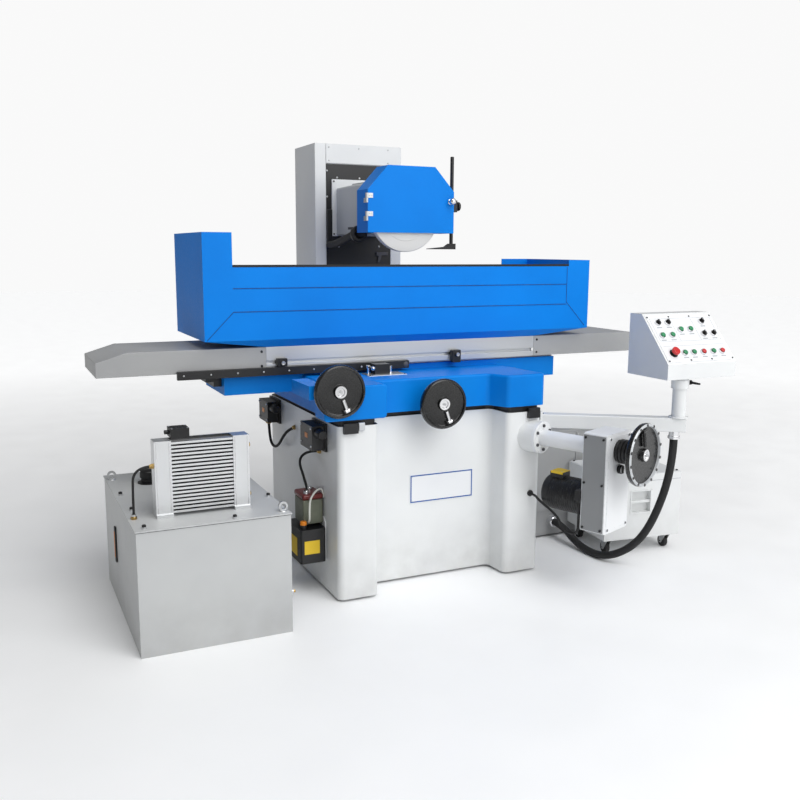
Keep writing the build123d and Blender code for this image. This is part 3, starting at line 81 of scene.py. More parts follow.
@dataclass(frozen=True)
class Finish:
    """One procedural surface: colour, gloss, relief, worn edges and floor dust."""

    name: str
    colour: Rgb
    shade: Rgb
    rough: float
    metal: float = 0.0
    coat: float = 0.0
    grain: float = 220.0
    relief: float = 0.15
    depth: float = 0.0004
    run: Grain = Grain.EVEN
    cloud: float = 3.0
    worn: Rgb | None = None
    dust: float = 0.0
    specks: Rgb | None = None
    gloss: float = 0.5

    @staticmethod
    def linear(colour: Rgb) -> tuple[float, float, float, float]:
        """Convert a display colour to scene light.

        Args:
            colour: Red, green and blue from 0 to 255.

        Returns:
            The colour in linear light, with an opaque fourth value.
        """
        parts = [c / 255.0 for c in colour]
        light = [p / 12.92 if p <= 0.04045 else ((p + 0.055) / 1.055) ** 2.4 for p in parts]
        return (light[0], light[1], light[2], 1.0)

    def material(self) -> bpy.types.Material:
        """Build the node tree once and return its material.

        Returns:
            The material, shared by every piece in this finish.
        """
        known = bpy.data.materials.get(self.name)
        if known:
            return known
        made = bpy.data.materials.new(self.name)
        made.use_nodes = True
        nodes, links = made.node_tree.nodes, made.node_tree.links
        shader = nodes["Principled BSDF"]
        shader.inputs["Metallic"].default_value = self.metal
        shader.inputs["Coat Weight"].default_value = self.coat
        shader.inputs["Coat Roughness"].default_value = COAT_ROUGH
        shader.inputs["Specular IOR Level"].default_value = self.gloss
        place = nodes.new("ShaderNodeTexCoord")
        mapping = nodes.new("ShaderNodeMapping")
        mapping.inputs["Scale"].default_value = self.run.value
        links.new(place.outputs["Object"], mapping.inputs["Vector"])

        def noise(scale: float, detail: float, source: bpy.types.NodeSocket) -> bpy.types.NodeSocket:
            """Add a noise texture.

            Args:
                scale: Features per metre.
                detail: Octaves.
                source: The coordinates it reads.

            Returns:
                Its grey output.
            """
            node = nodes.new("ShaderNodeTexNoise")
            node.inputs["Scale"].default_value = scale
            node.inputs["Detail"].default_value = detail
            links.new(source, node.inputs["Vector"])
            return node.outputs["Fac"]

        def spread(source: bpy.types.NodeSocket, low: float, high: float,
                   to: Pair) -> bpy.types.NodeSocket:
            """Map a grey value from one range to another.

            Args:
                source: The grey value.
                low: Lowest input.
                high: Highest input.
                to: Output at the lowest and at the highest input.

            Returns:
                The mapped value.
            """
            node = nodes.new("ShaderNodeMapRange")
            node.inputs["From Min"].default_value = low
            node.inputs["From Max"].default_value = high
            node.inputs["To Min"].default_value = to[0]
            node.inputs["To Max"].default_value = to[1]
            links.new(source, node.inputs["Value"])
            return node.outputs["Result"]

        def times(first: bpy.types.NodeSocket, second: bpy.types.NodeSocket) -> bpy.types.NodeSocket:
            """Multiply two grey values and return the product."""
            node = nodes.new("ShaderNodeMath")
            node.operation = "MULTIPLY"
            node.use_clamp = True
            links.new(first, node.inputs[0])
            links.new(second, node.inputs[1])
            return node.outputs["Value"]

        def tint(amount: bpy.types.NodeSocket, under: bpy.types.NodeSocket | Rgb,
                 over: Rgb) -> bpy.types.NodeSocket:
            """Lay one colour over another.

            Args:
                amount: How much of the upper colour shows.
                under: The lower colour.
                over: The upper colour.

            Returns:
                The mixed colour.
            """
            node = nodes.new("ShaderNodeMix")
            node.data_type = "RGBA"
            links.new(amount, node.inputs["Factor"])
            if isinstance(under, tuple):
                node.inputs[6].default_value = Finish.linear(under)
            else:
                links.new(under, node.inputs[6])
            node.inputs[7].default_value = Finish.linear(over)
            return node.outputs[2]

        object_place = place.outputs["Object"]
        broad = noise(self.cloud, 5.0, mapping.outputs["Vector"])
        fine = noise(self.grain, 4.0, mapping.outputs["Vector"])
        colour = tint(spread(broad, 0.36, 0.66, (0.0, 1.0)), self.colour, self.shade)
        if self.specks:
            dots = noise(self.grain * 2.3, 2.0, object_place)
            colour = tint(spread(dots, 0.56, 0.62, (0.0, 1.0)), colour, self.specks)
        if self.worn:
            edge = nodes.new("ShaderNodeBevel")
            edge.samples = 4
            edge.inputs["Radius"].default_value = EDGE_WIDTH
            surface = nodes.new("ShaderNodeNewGeometry")
            turn = nodes.new("ShaderNodeVectorMath")
            turn.operation = "DOT_PRODUCT"
            links.new(edge.outputs["Normal"], turn.inputs[0])
            links.new(surface.outputs["Normal"], turn.inputs[1])
            rim = spread(turn.outputs["Value"], *EDGE_TURN, (0.0, 0.8))
            chips = spread(noise(55.0, 5.0, object_place), 0.5, 0.62, (0.0, 1.0))
            colour = tint(times(rim, chips), colour, self.worn)
        if self.dust:
            height = nodes.new("ShaderNodeSeparateXYZ")
            links.new(object_place, height.inputs[0])
            low = spread(height.outputs["Z"], 0.0, DUST_TOP, (self.dust, 0.0))
            patch = spread(noise(9.0, 5.0, object_place), 0.3, 0.7, (0.3, 1.0))
            colour = tint(times(low, patch), colour, DUST_COLOUR)
        links.new(colour, shader.inputs["Base Color"])
        swing = 0.35 * self.rough
        rough = spread(fine, 0.3, 0.7, (self.rough - swing * 0.4, self.rough + swing * 0.6))
        links.new(rough, shader.inputs["Roughness"])
        bump = nodes.new("ShaderNodeBump")
        bump.inputs["Strength"].default_value = self.relief
        bump.inputs["Distance"].default_value = self.depth
        links.new(fine, bump.inputs["Height"])
        links.new(bump.outputs["Normal"], shader.inputs["Normal"])
        return made


class Shop:
    """The finishes used on this machine."""

    ENAMEL = Finish("enamel_light", (233, 235, 235), (226, 228, 229), 0.34, coat=0.25,
                    grain=260, relief=0.12, worn=(168, 168, 165), dust=0.30)
    # Mid grey copy of the light enamel: painted shade for light-painted parts that stand in shade, the
    # cabinet and the table end covers.
    SHADED_ENAMEL = Finish("enamel_painted_shade", (172, 173, 173), (164, 165, 166), 0.44, coat=0.08,
                   grain=220, relief=0.12, worn=(130, 130, 128))
    # Darker grey copy of the light enamel: painted shade for the gearbox side cover, which stands in
    # shade.
    SHADED_ENAMEL_DARK = Finish("enamel_painted_shade_dark", (138, 140, 142), (130, 132, 134), 0.44, coat=0.08,
                        grain=220, relief=0.12, worn=(110, 110, 108))
    # Slightly lighter copy of the light enamel: painted light on the brightly lit elevating drive case.
    LIT_ENAMEL = Finish("enamel_painted_light", (236, 238, 240), (228, 230, 233), 0.36, coat=0.2,
                          grain=200, relief=0.16, worn=(150, 150, 148), dust=0.2)
    # Darker grey copy of the light enamel: painted shade on the light-painted hydraulic tank.
    SHADED_TANK_ENAMEL = Finish("enamel_tank_painted_shade", (196, 198, 198), (189, 191, 192), 0.46, coat=0.08,
                  grain=180, relief=0.16, worn=(140, 140, 138), dust=0.25)
    BLUE = Finish("enamel_blue", (0, 132, 232), (0, 126, 224), 0.42, coat=0.0,
                  grain=240, relief=0.10, worn=(90, 150, 205), gloss=0.14)
    BLUE_CAST = Finish("enamel_blue_cast", (0, 130, 224), (0, 120, 212), 0.42, coat=0.0,
                       grain=120, relief=0.22, worn=(90, 150, 205), gloss=0.14)
    BLACK = Finish("enamel_black", (14, 14, 16), (22, 22, 24), 0.42, coat=0.1,
                   grain=200, relief=0.15, worn=(84, 84, 86))
    GLOSS_BLACK = Finish("gloss_black", (5, 5, 6), (10, 10, 11), 0.26, coat=0.35,
                         grain=120, relief=0.06, worn=(70, 70, 74))
    PLASTIC = Finish("plastic_black", (12, 12, 13), (19, 19, 20), 0.45, grain=700, relief=0.2,
                     depth=0.0002)
    RUBBER = Finish("rubber_black", (18, 18, 19), (26, 26, 27), 0.62, grain=500, relief=0.3,
                    depth=0.0003)
    CAST = Finish("cast_grey", (128, 132, 136), (104, 108, 113), 0.6, grain=140, relief=0.5,
                  depth=0.0012, cloud=9.0, worn=(178, 180, 182))
    STEEL = Finish("ground_steel", (112, 111, 103), (88, 87, 80), 0.36, metal=0.8, grain=420,
                   relief=0.12, run=Grain.ALONG_X, cloud=12.0)
    STEEL_ROUND = Finish("turned_steel", (188, 187, 184), (168, 167, 165), 0.26, metal=1.0,
                         grain=500, relief=0.08, cloud=14.0)
    CHROME = Finish("bright_chrome", (226, 227, 230), (212, 213, 217), 0.10, metal=1.0,
                    grain=60, relief=0.03, cloud=20.0)
    ZINC = Finish("zinc_plate", (176, 178, 180), (150, 152, 156), 0.34, metal=1.0, grain=300,
                  relief=0.12, cloud=25.0)
    ALUMINIUM = Finish("bare_aluminium", (165, 166, 168), (150, 151, 153), 0.36, metal=0.9,
                       grain=260, relief=0.15, cloud=10.0)
    DARK = Finish("dark_metal", (58, 59, 62), (44, 45, 48), 0.42, metal=0.6, grain=240,
                  relief=0.2, cloud=8.0, worn=(120, 120, 122))
    ABRASIVE = Finish("abrasive", (182, 180, 176), (164, 163, 160), 0.9, grain=520, relief=0.9,
                      depth=0.001, cloud=16.0, specks=(96, 96, 98))
    WHITE = Finish("panel_white", (236, 238, 240), (230, 232, 235), 0.32, grain=420, relief=0.05)
    GREY_INK = Finish("ink_grey", (168, 172, 178), (160, 164, 170), 0.5, grain=400, relief=0.05)
    GREEN = Finish("cap_green", (18, 138, 84), (14, 124, 76), 0.28, coat=0.4, grain=300, relief=0.05)
    RED = Finish("cap_red", (206, 26, 30), (188, 20, 24), 0.28, coat=0.4, grain=300, relief=0.05)
    DARK_RED = Finish("lid_red", (120, 26, 24), (102, 22, 20), 0.34, coat=0.3, grain=260, relief=0.08)
    YELLOW = Finish("label_yellow", (232, 196, 40), (222, 186, 34), 0.42, grain=300, relief=0.05)
    AMBER = Finish("tag_amber", (226, 134, 26), (210, 120, 20), 0.36, grain=260, relief=0.06)
    OLIVE = Finish("pump_olive", (112, 116, 100), (94, 98, 84), 0.42, grain=160, relief=0.25,
                   cloud=14.0, worn=(150, 152, 140))
    BRASS = Finish("brass", (190, 160, 104), (168, 140, 88), 0.32, metal=1.0, grain=300, relief=0.08)
    MILK = Finish("tube_white", (228, 228, 222), (214, 214, 206), 0.4, grain=300, relief=0.05)
    PLATE_BLUE = Finish("plate_blue", (40, 92, 168), (34, 84, 156), 0.34, coat=0.3, grain=300,
                        relief=0.05)


# ======================================================================================
# Bench: the operations that shape every piece
# ======================================================================================
Wanted = Callable[[Vector, Vector], bool]
Zone = tuple[Wanted, Finish]


class Bench:
    """Modelling operations shared by every sub-assembly."""

    @staticmethod
    def hold(*pieces: bpy.types.Object) -> None:
        """Leave edit mode and select only these pieces, the first one active."""
        if bpy.context.mode != "OBJECT":
            bpy.ops.object.mode_set(mode="OBJECT")
        bpy.ops.object.select_all(action="DESELECT")
        for piece in pieces:
            piece.select_set(True)
        if pieces:
            bpy.context.view_layer.objects.active = pieces[0]

    @staticmethod
    def named(name: str) -> bpy.types.Object:
        """Name the newest primitive, put its place into its mesh and return it."""
        piece = bpy.context.active_object
        piece.name = name
        piece.data.name = name
        bpy.ops.object.transform_apply(location=True, rotation=True, scale=True)
        return piece

    @staticmethod
    def editing(piece: bpy.types.Object, wanted: Wanted | None = None) -> None:
        """Open a piece for editing with some of its faces selected.

        Args:
            piece: The piece to open.
            wanted: Test of a face's centre and normal; all faces when left out.
        """
        Bench.hold(piece)
        bpy.ops.object.mode_set(mode="EDIT")
        bpy.ops.mesh.select_mode(type="FACE")
        bpy.ops.mesh.select_all(action="SELECT" if wanted is None else "DESELECT")
        if wanted is not None:
            bpy.ops.object.mode_set(mode="OBJECT")
            for face in piece.data.polygons:
                face.select = wanted(face.center, face.normal)
            bpy.ops.object.mode_set(mode="EDIT")

    @staticmethod
    def modify(piece: bpy.types.Object, kind: str, **settings: object) -> None:
        """Add one modifier, set it and apply it.

        Args:
            piece: The piece to finish.
            kind: Blender's modifier type.
            **settings: The modifier's own values.
        """
        Bench.hold(piece)
        modifier = piece.modifiers.new(kind.lower(), kind)
        for key, value in settings.items():
            setattr(modifier, key, value)
        bpy.ops.object.modifier_apply(modifier=modifier.name)

    @staticmethod
    def soften(piece: bpy.types.Object, width: float, segments: int = 2, angle: float = 40.0) -> None:
        """Round the sharp edges of a piece and smooth what is left.

        Args:
            piece: The piece to round.
            width: Width of the rounding, in metres.
            segments: Steps across the rounding.
            angle: Edges sharper than this many degrees are rounded.
        """
        if width:
            Bench.modify(piece, "BEVEL", width=width, segments=segments,
                         limit_method="ANGLE", angle_limit=math.radians(angle))
        Bench.hold(piece)
        bpy.ops.object.shade_smooth_by_angle(angle=SMOOTH_ANGLE, keep_sharp_edges=True)
        Bench.modify(piece, "WEIGHTED_NORMAL", keep_sharp=True, weight=60)

    @staticmethod
    def block(name: str, low: Vector, high: Vector, edge: float = 0.001,
              turn: Matrix | None = None) -> bpy.types.Object:
        """Make a box with rounded edges.

        Args:
            name: Name of the piece.
            low: Lowest corner.
            high: Highest corner.
            edge: Width of the rounding.
            turn: Placement for a box that doesn't lie along the axes.

        Returns:
            The new piece.
        """
        Bench.hold()
        bpy.ops.mesh.primitive_cube_add(size=1.0, location=(low + high) / 2, scale=high - low)
        piece = Bench.named(name)
        if turn:
            piece.data.transform(turn)
        Bench.soften(piece, edge)
        return piece

    @staticmethod
    def rod(name: str, start: Vector, end: Vector, radius: float, edge: float = 0.0008,
            sides: int = 32, tip: float | None = None) -> bpy.types.Object:
        """Make a round bar or a cone between two points.

        Args:
            name: Name of the piece.
            start: Middle of one end.
            end: Middle of the other end.
            radius: Radius at the start.
            edge: Width of the rounding at the ends.
            sides: Faces round the bar.
            tip: Radius at the end, the same as the start when left out.

        Returns:
            The new piece.
        """
        run = end - start
        Bench.hold()
        bpy.ops.mesh.primitive_cone_add(
            vertices=sides, radius1=radius, radius2=radius if tip is None else tip,
            depth=run.length, location=(start + end) / 2,
            rotation=run.to_track_quat("Z", "Y").to_euler())
        piece = Bench.named(name)
        Bench.soften(piece, edge)
        return piece

    @staticmethod
    def lathe(name: str, profile: Sequence[Pair], base: Vector, axis: Vector,
              steps: int = 48, edge: float = 0.0) -> bpy.types.Object:
        """Spin an outline into a turned piece.

        Args:
            name: Name of the piece.
            profile: Pairs of radius and height; both ends on the axis make a solid
                turning, and an outline clear of the axis makes a ring.
            base: Where height is zero.
            axis: Direction of the axis.
            steps: Faces round the axis.
            edge: Width of the rounding on sharp rims.

        Returns:
            The new piece.
        """
        axis = axis.normalized()
        side = axis.orthogonal().normalized()
        Bench.hold()
        bpy.ops.mesh.primitive_circle_add(vertices=len(profile), fill_type="NOTHING")
        piece = Bench.named(name)
        for vertex, (radius, height) in zip(piece.data.vertices, profile):
            vertex.co = base + axis * height + side * radius
        solid = profile[0][0] == 0.0 and profile[-1][0] == 0.0
        if solid:
            bpy.ops.object.mode_set(mode="EDIT")
            bpy.ops.mesh.select_mode(type="EDGE")
            bpy.ops.object.mode_set(mode="OBJECT")
            for vertex in piece.data.vertices:
                vertex.select = False
            for line in piece.data.edges:
                line.select = all(profile[i][0] == 0.0 for i in line.vertices)
            bpy.ops.object.mode_set(mode="EDIT")
            bpy.ops.mesh.delete(type="EDGE")
        Bench.hold(piece)
        bpy.ops.object.mode_set(mode="EDIT")
        bpy.ops.mesh.select_all(action="SELECT")
        bpy.ops.mesh.spin(steps=steps, angle=math.tau, center=base, axis=axis)
        bpy.ops.mesh.select_all(action="SELECT")
        bpy.ops.mesh.remove_doubles(threshold=1e-6)
        bpy.ops.mesh.normals_make_consistent(inside=False)
        bpy.ops.object.mode_set(mode="OBJECT")
        Bench.soften(piece, edge)
        return piece

    @staticmethod
    def sheet(name: str, outline: Sequence[Vector], depth: Vector, edge: float = 0.0006,
              hollow: float = 0.0) -> bpy.types.Object:
        """Extrude a flat outline.

        Args:
            name: Name of the piece.
            outline: The corners in order.
            depth: How far and which way it is extruded.
            edge: Width of the rounding.
            hollow: Width of a raised border, whose middle is sunk by a third of the depth.

        Returns:
            The new piece.
        """
        Bench.hold()
        bpy.ops.mesh.primitive_circle_add(vertices=len(outline), fill_type="NGON")
        piece = Bench.named(name)
        for vertex, corner in zip(piece.data.vertices, outline):
            vertex.co = corner
        Bench.editing(piece)
        bpy.ops.mesh.extrude_region_move(TRANSFORM_OT_translate={"value": depth})
        if hollow:
            bpy.ops.mesh.inset(thickness=hollow, depth=0.0)
            bpy.ops.transform.translate(value=depth * -0.34)
        bpy.ops.mesh.select_all(action="SELECT")
        bpy.ops.mesh.normals_make_consistent(inside=False)
        bpy.ops.object.mode_set(mode="OBJECT")
        Bench.soften(piece, edge)
        return piece

    @staticmethod
    def pipe(name: str, points: Sequence[Vector], radius: float, sides: int = 6) -> bpy.types.Object:
        """Bend a formed pipe along a smooth line and make it a mesh.

        Args:
            name: Name of the piece.
            points: Points that shape the line.
            radius: Outer radius of the pipe.
            sides: Resolution round the pipe.

        Returns:
            The new piece.
        """
        line = Bench.curve(name, points, radius, sides)
        Bench.hold(line)
        bpy.ops.object.convert(target="MESH")
        piece = bpy.context.active_object
        Bench.soften(piece, 0.0)
        return piece

    @staticmethod
    def curve(name: str, points: Sequence[Vector], radius: float, sides: int) -> bpy.types.Object:
        """Make a round cord on one smooth line.

        Args:
            name: Name of the piece.
            points: Points that shape the line.
            radius: Radius of the cord.
            sides: Resolution round the cord.

        Returns:
            The new curve.
        """
        data = bpy.data.curves.new(name, "CURVE")
        data.dimensions = "3D"
        data.bevel_depth = radius
        data.bevel_resolution = sides
        data.resolution_u = 12
        data.use_fill_caps = True
        spline = data.splines.new("NURBS")
        spline.points.add(len(points) - 1)
        for knot, place in zip(spline.points, points):
            knot.co = (*place, 1.0)
        spline.order_u = 3
        spline.use_endpoint_u = True
        piece = bpy.data.objects.new(name, data)
        bpy.context.scene.collection.objects.link(piece)
        return piece

    @staticmethod
    def repeat(piece: bpy.types.Object, moves: Sequence[Vector | Matrix]) -> bpy.types.Object:
        """Copy a finished piece to more places and join the copies to it.

        Args:
            piece: The first one, already in place.
            moves: A shift or a placement for every further copy.

        Returns:
            One piece that holds them all.
        """
        copies = []
        for move in moves:
            twin = piece.copy()
            twin.data = piece.data.copy()
            bpy.context.scene.collection.objects.link(twin)
            twin.data.transform(move if isinstance(move, Matrix) else Matrix.Translation(move))
            copies.append(twin)
        return Bench.join(piece, *copies)

    @staticmethod
    def join(*pieces: bpy.types.Object) -> bpy.types.Object:
        """Join pieces into the first one and return it."""
        if len(pieces) > 1:
            Bench.hold(*pieces)
            bpy.ops.object.join()
        return pieces[0]

    @staticmethod
    def fit(piece: bpy.types.Object, body: str, slot: str,
            finish: Finish | None = None) -> bpy.types.Object:
        """Give a piece its finish and the body it rides on.

        Args:
            piece: The piece.
            body: The moving body it belongs to.
            slot: The record's material slot; not used.
            finish: Its finish; left out when the piece already has one.

        Returns:
            The same piece.
        """
        if finish:
            piece.data.materials.clear()
            piece.data.materials.append(finish.material())
        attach(piece, body)
        LOG.info("%s rides on %s", piece.name, body)
        return piece

    @staticmethod
    def dress(node: str, body: str, slot: str, finish: Finish, edge: float = 0.0015,
              zones: Sequence[Zone] = (), segments: int = 2) -> bpy.types.Object:
        """Put a copy of a CAD node with rounded edges and finishes in its place.

        Args:
            node: The CAD node.
            body: The body it rides on.
            slot: The record's material slot.
            finish: The main finish.
            edge: Width of the rounded edges.
            zones: Tests of a face's centre and normal, each with another finish.
            segments: Steps across the rounding.

        Returns:
            The new piece.
        """
        piece = bpy.data.objects.new(f"{node}_dressed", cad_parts[node].data.copy())
        bpy.context.scene.collection.objects.link(piece)
        Bench.editing(piece)
        bpy.ops.mesh.remove_doubles(threshold=MERGE_GAP)
        bpy.ops.mesh.dissolve_limited(angle_limit=FLAT_ANGLE)
        bpy.ops.object.mode_set(mode="OBJECT")
        Bench.soften(piece, edge, segments)
        piece.data.materials.clear()
        for one in (finish, *[zone[1] for zone in zones]):
            piece.data.materials.append(one.material())
        for face in piece.data.polygons:
            face.material_index = 0
            for number, (wanted, _) in enumerate(zones, start=1):
                if wanted(face.center, face.normal):
                    face.material_index = number
        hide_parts(node)
        return Bench.fit(piece, body, slot)


def within(low: Point, high: Point) -> Wanted:
    """Give a test for faces inside a box, in millimetres.

    Args:
        low: Lowest corner.
        high: Highest corner.

    Returns:
        The test.
    """
    def test(centre: Vector, _: Vector) -> bool:
        """Say whether a face's centre is inside."""
        return all(a / 1000 <= c <= b / 1000 for a, c, b in zip(low, centre, high))
    return test


# ======================================================================================
# Studio
# ======================================================================================
@dataclass
class Studio:
    """Camera, soft lights and a plain floor."""

    eye: Point = (-1.870, -4.200, 1.550)
    yaw: float = 25.115
    pitch: float = 9.582
    roll: float = 0.307
    lens: float = 40.01
    floor_half: float = 30.0
    glow: float = 0.40
    glow_from: Pair = (1.5, 8.0)

    def camera(self) -> None:
        """Stand the camera in front of the left end."""
        data = bpy.data.cameras.new("camera")
        data.lens = self.lens
        data.sensor_width = 36.0
        data.clip_end = 200.0
        camera = bpy.data.objects.new("camera", data)
        bpy.context.scene.collection.objects.link(camera)
        turn = (Matrix.Rotation(math.radians(-self.yaw), 4, "Z")
                @ Matrix.Rotation(math.radians(90.0 - self.pitch), 4, "X")
                @ Matrix.Rotation(math.radians(self.roll), 4, "Z"))
        camera.matrix_world = Matrix.Translation(self.eye) @ turn
        bpy.context.scene.camera = camera

    def light(self, name: str, place: Point, aim: Point, size: Pair, power: float) -> None:
        """Hang one soft panel light.

        Args:
            name: Name of the light.
            place: Where it hangs.
            aim: What it points at.
            size: Width and height of the panel.
            power: Watts.
        """
        data = bpy.data.lights.new(name, "AREA")
        data.shape = "RECTANGLE"
        data.size, data.size_y = size
        data.energy = power
        lamp = bpy.data.objects.new(name, data)
        bpy.context.scene.collection.objects.link(lamp)
        lamp.location = place
        lamp.rotation_euler = (Vector(aim) - Vector(place)).to_track_quat("-Z", "Y").to_euler()

    def build(self) -> None:
        """Make the camera, the lights and the floor."""
        self.camera()
        self.light("front_light", (1.2, -5.5, 3.6), (0.1, 0.0, 0.9), (5.0, 4.0), 165.0)
        sky = bpy.data.lights.new("sky_light", "SUN")
        sky.energy = 1.5
        sky.angle = math.radians(50.0)
        lamp = bpy.data.objects.new("sky_light", sky)
        bpy.context.scene.collection.objects.link(lamp)
        lamp.rotation_euler = Vector((-0.10, 0.45, -1.0)).to_track_quat("-Z", "Y").to_euler()
        self.light("right_light", (5.0, -1.5, 2.6), (0.3, 0.0, 0.9), (3.0, 3.5), 30.0)
        world = bpy.data.worlds.new("studio")
        world.use_nodes = True
        nodes, links = world.node_tree.nodes, world.node_tree.links
        seen = nodes.new("ShaderNodeLightPath")
        level = nodes.new("ShaderNodeMapRange")
        level.inputs["To Min"].default_value = 0.24
        level.inputs["To Max"].default_value = 0.95
        links.new(seen.outputs["Is Camera Ray"], level.inputs["Value"])
        nodes["Background"].inputs["Color"].default_value = (1.0, 1.0, 1.0, 1.0)
        links.new(level.outputs["Result"], nodes["Background"].inputs["Strength"])
        bpy.context.scene.world = world
        bpy.context.scene.view_settings.view_transform = "Standard"
        Bench.hold()
        bpy.ops.mesh.primitive_circle_add(vertices=64, radius=self.floor_half, fill_type="NGON")
        floor = Bench.named("studio_floor")
        Bench.editing(floor)
        bpy.ops.mesh.inset(thickness=self.floor_half * 0.5)
        bpy.ops.object.mode_set(mode="OBJECT")
        paint = Finish("studio_floor", (246, 247, 248), (244, 245, 246), 0.5, grain=4,
                       relief=0.0).material()
        self.brighten(paint)
        floor.data.materials.append(paint)

    def brighten(self, paint: bpy.types.Material) -> None:
        """Let the far floor glow a little, for the camera only, so that it meets the white background.

        Args:
            paint: The floor's material.
        """
        nodes, links = paint.node_tree.nodes, paint.node_tree.links
        shader = nodes["Principled BSDF"]
        place = nodes.new("ShaderNodeTexCoord")
        away = nodes.new("ShaderNodeVectorMath")
        away.operation = "LENGTH"
        links.new(place.outputs["Object"], away.inputs[0])
        glow = nodes.new("ShaderNodeMapRange")
        glow.inputs["From Min"].default_value = self.glow_from[0]
        glow.inputs["From Max"].default_value = self.glow_from[1]
        glow.inputs["To Max"].default_value = self.glow
        links.new(away.outputs["Value"], glow.inputs["Value"])
        seen = nodes.new("ShaderNodeLightPath")
        only = nodes.new("ShaderNodeMath")
        only.operation = "MULTIPLY"
        links.new(glow.outputs["Result"], only.inputs[0])
        links.new(seen.outputs["Is Camera Ray"], only.inputs[1])
        shader.inputs["Emission Color"].default_value = (1.0, 1.0, 1.0, 1.0)
        links.new(only.outputs["Value"], shader.inputs["Emission Strength"])


# ======================================================================================
# Cords
# ======================================================================================
@dataclass
class Cord:
    """One free hose or cable, with the length and ends that it has in the metal."""

    node: str
    points: Sequence[Point]
    radius: float
    length: float
    finish: Finish
    slot: str
    stiffness: str = "medium"
    lay: str = "hanging"

    def build(self) -> bpy.types.Object:
        """Returns:
            The cord.
        """
        route = [mm(*point) for point in self.points]
        piece = Bench.curve(f"{self.node}_run", route, self.radius, 8)
        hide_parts(self.node)
        Bench.fit(piece, "frame", self.slot, self.finish)
        return piece


CORDS = [
    Cord(
        "conduit_hose",
        [(1067, -1004, 672), (1067, -1004, 517), (1025, -942, 250), (974, -864, 101),
         (894, -745, 19.2), (886, -545, 19.2), (880, -400, 93), (880, -318, 93)],
        0.019, 1.2022, Shop.RUBBER, "black_rubber",
    ),
    Cord(
        "motor_cable",
        [(465, -712, 396), (465, -756, 396), (425, -830, 402), (462, -938, 350),
         (476, -966, 282), (501, -1043, 282), (500, -1045, 362), (500, -1045, 435)],
        0.006, 0.5306, Shop.RUBBER, "black_rubber",
    ),
    Cord(
        "cooler_hose",
        [(-1316, -727, 711), (-1384, -727, 711), (-1388, -727, 600), (-1388, -727, 526)],
        0.005, 0.2406, Shop.RUBBER, "black_rubber", stiffness="limp",
    ),
]


# ======================================================================================
# Fasteners
# ======================================================================================
class Head(Enum):
    """Screw head shapes, as outlines of radius and height in units of the head."""

    BUTTON = ((0.0, 0.35), (0.42, 0.35), (0.46, 0.62), (0.72, 0.55), (0.95, 0.25), (1.0, 0.0),
              (0.0, 0.0))
    SOCKET = ((0.0, 0.45), (0.5, 0.45), (0.54, 0.95), (0.86, 1.0), (1.0, 0.88), (1.0, 0.0), (0.0, 0.0))
    PAN = ((0.0, 0.5), (0.35, 0.48), (0.75, 0.36), (1.0, 0.1), (1.0, 0.0), (0.0, 0.0))


@dataclass
class Screws:
    """A set of equal screws on one face."""

    name: str
    places: Sequence[Point]
    facing: Point
    radius: float
    body: str
    finish: Finish
    slot: str = "dark_metal"
    head: Head = Head.BUTTON

    def build(self) -> bpy.types.Object:
        """Turn one screw and copy it to every place.

        Returns:
            The screws as one piece.
        """
        first = mm(*self.places[0])
        profile = [(r * self.radius, h * self.radius) for r, h in self.head.value]
        screw = Bench.lathe(self.name, profile, first, Vector(self.facing), steps=14)
        Bench.repeat(screw, [mm(*place) - first for place in self.places[1:]])
        return Bench.fit(screw, self.body, self.slot, self.finish)


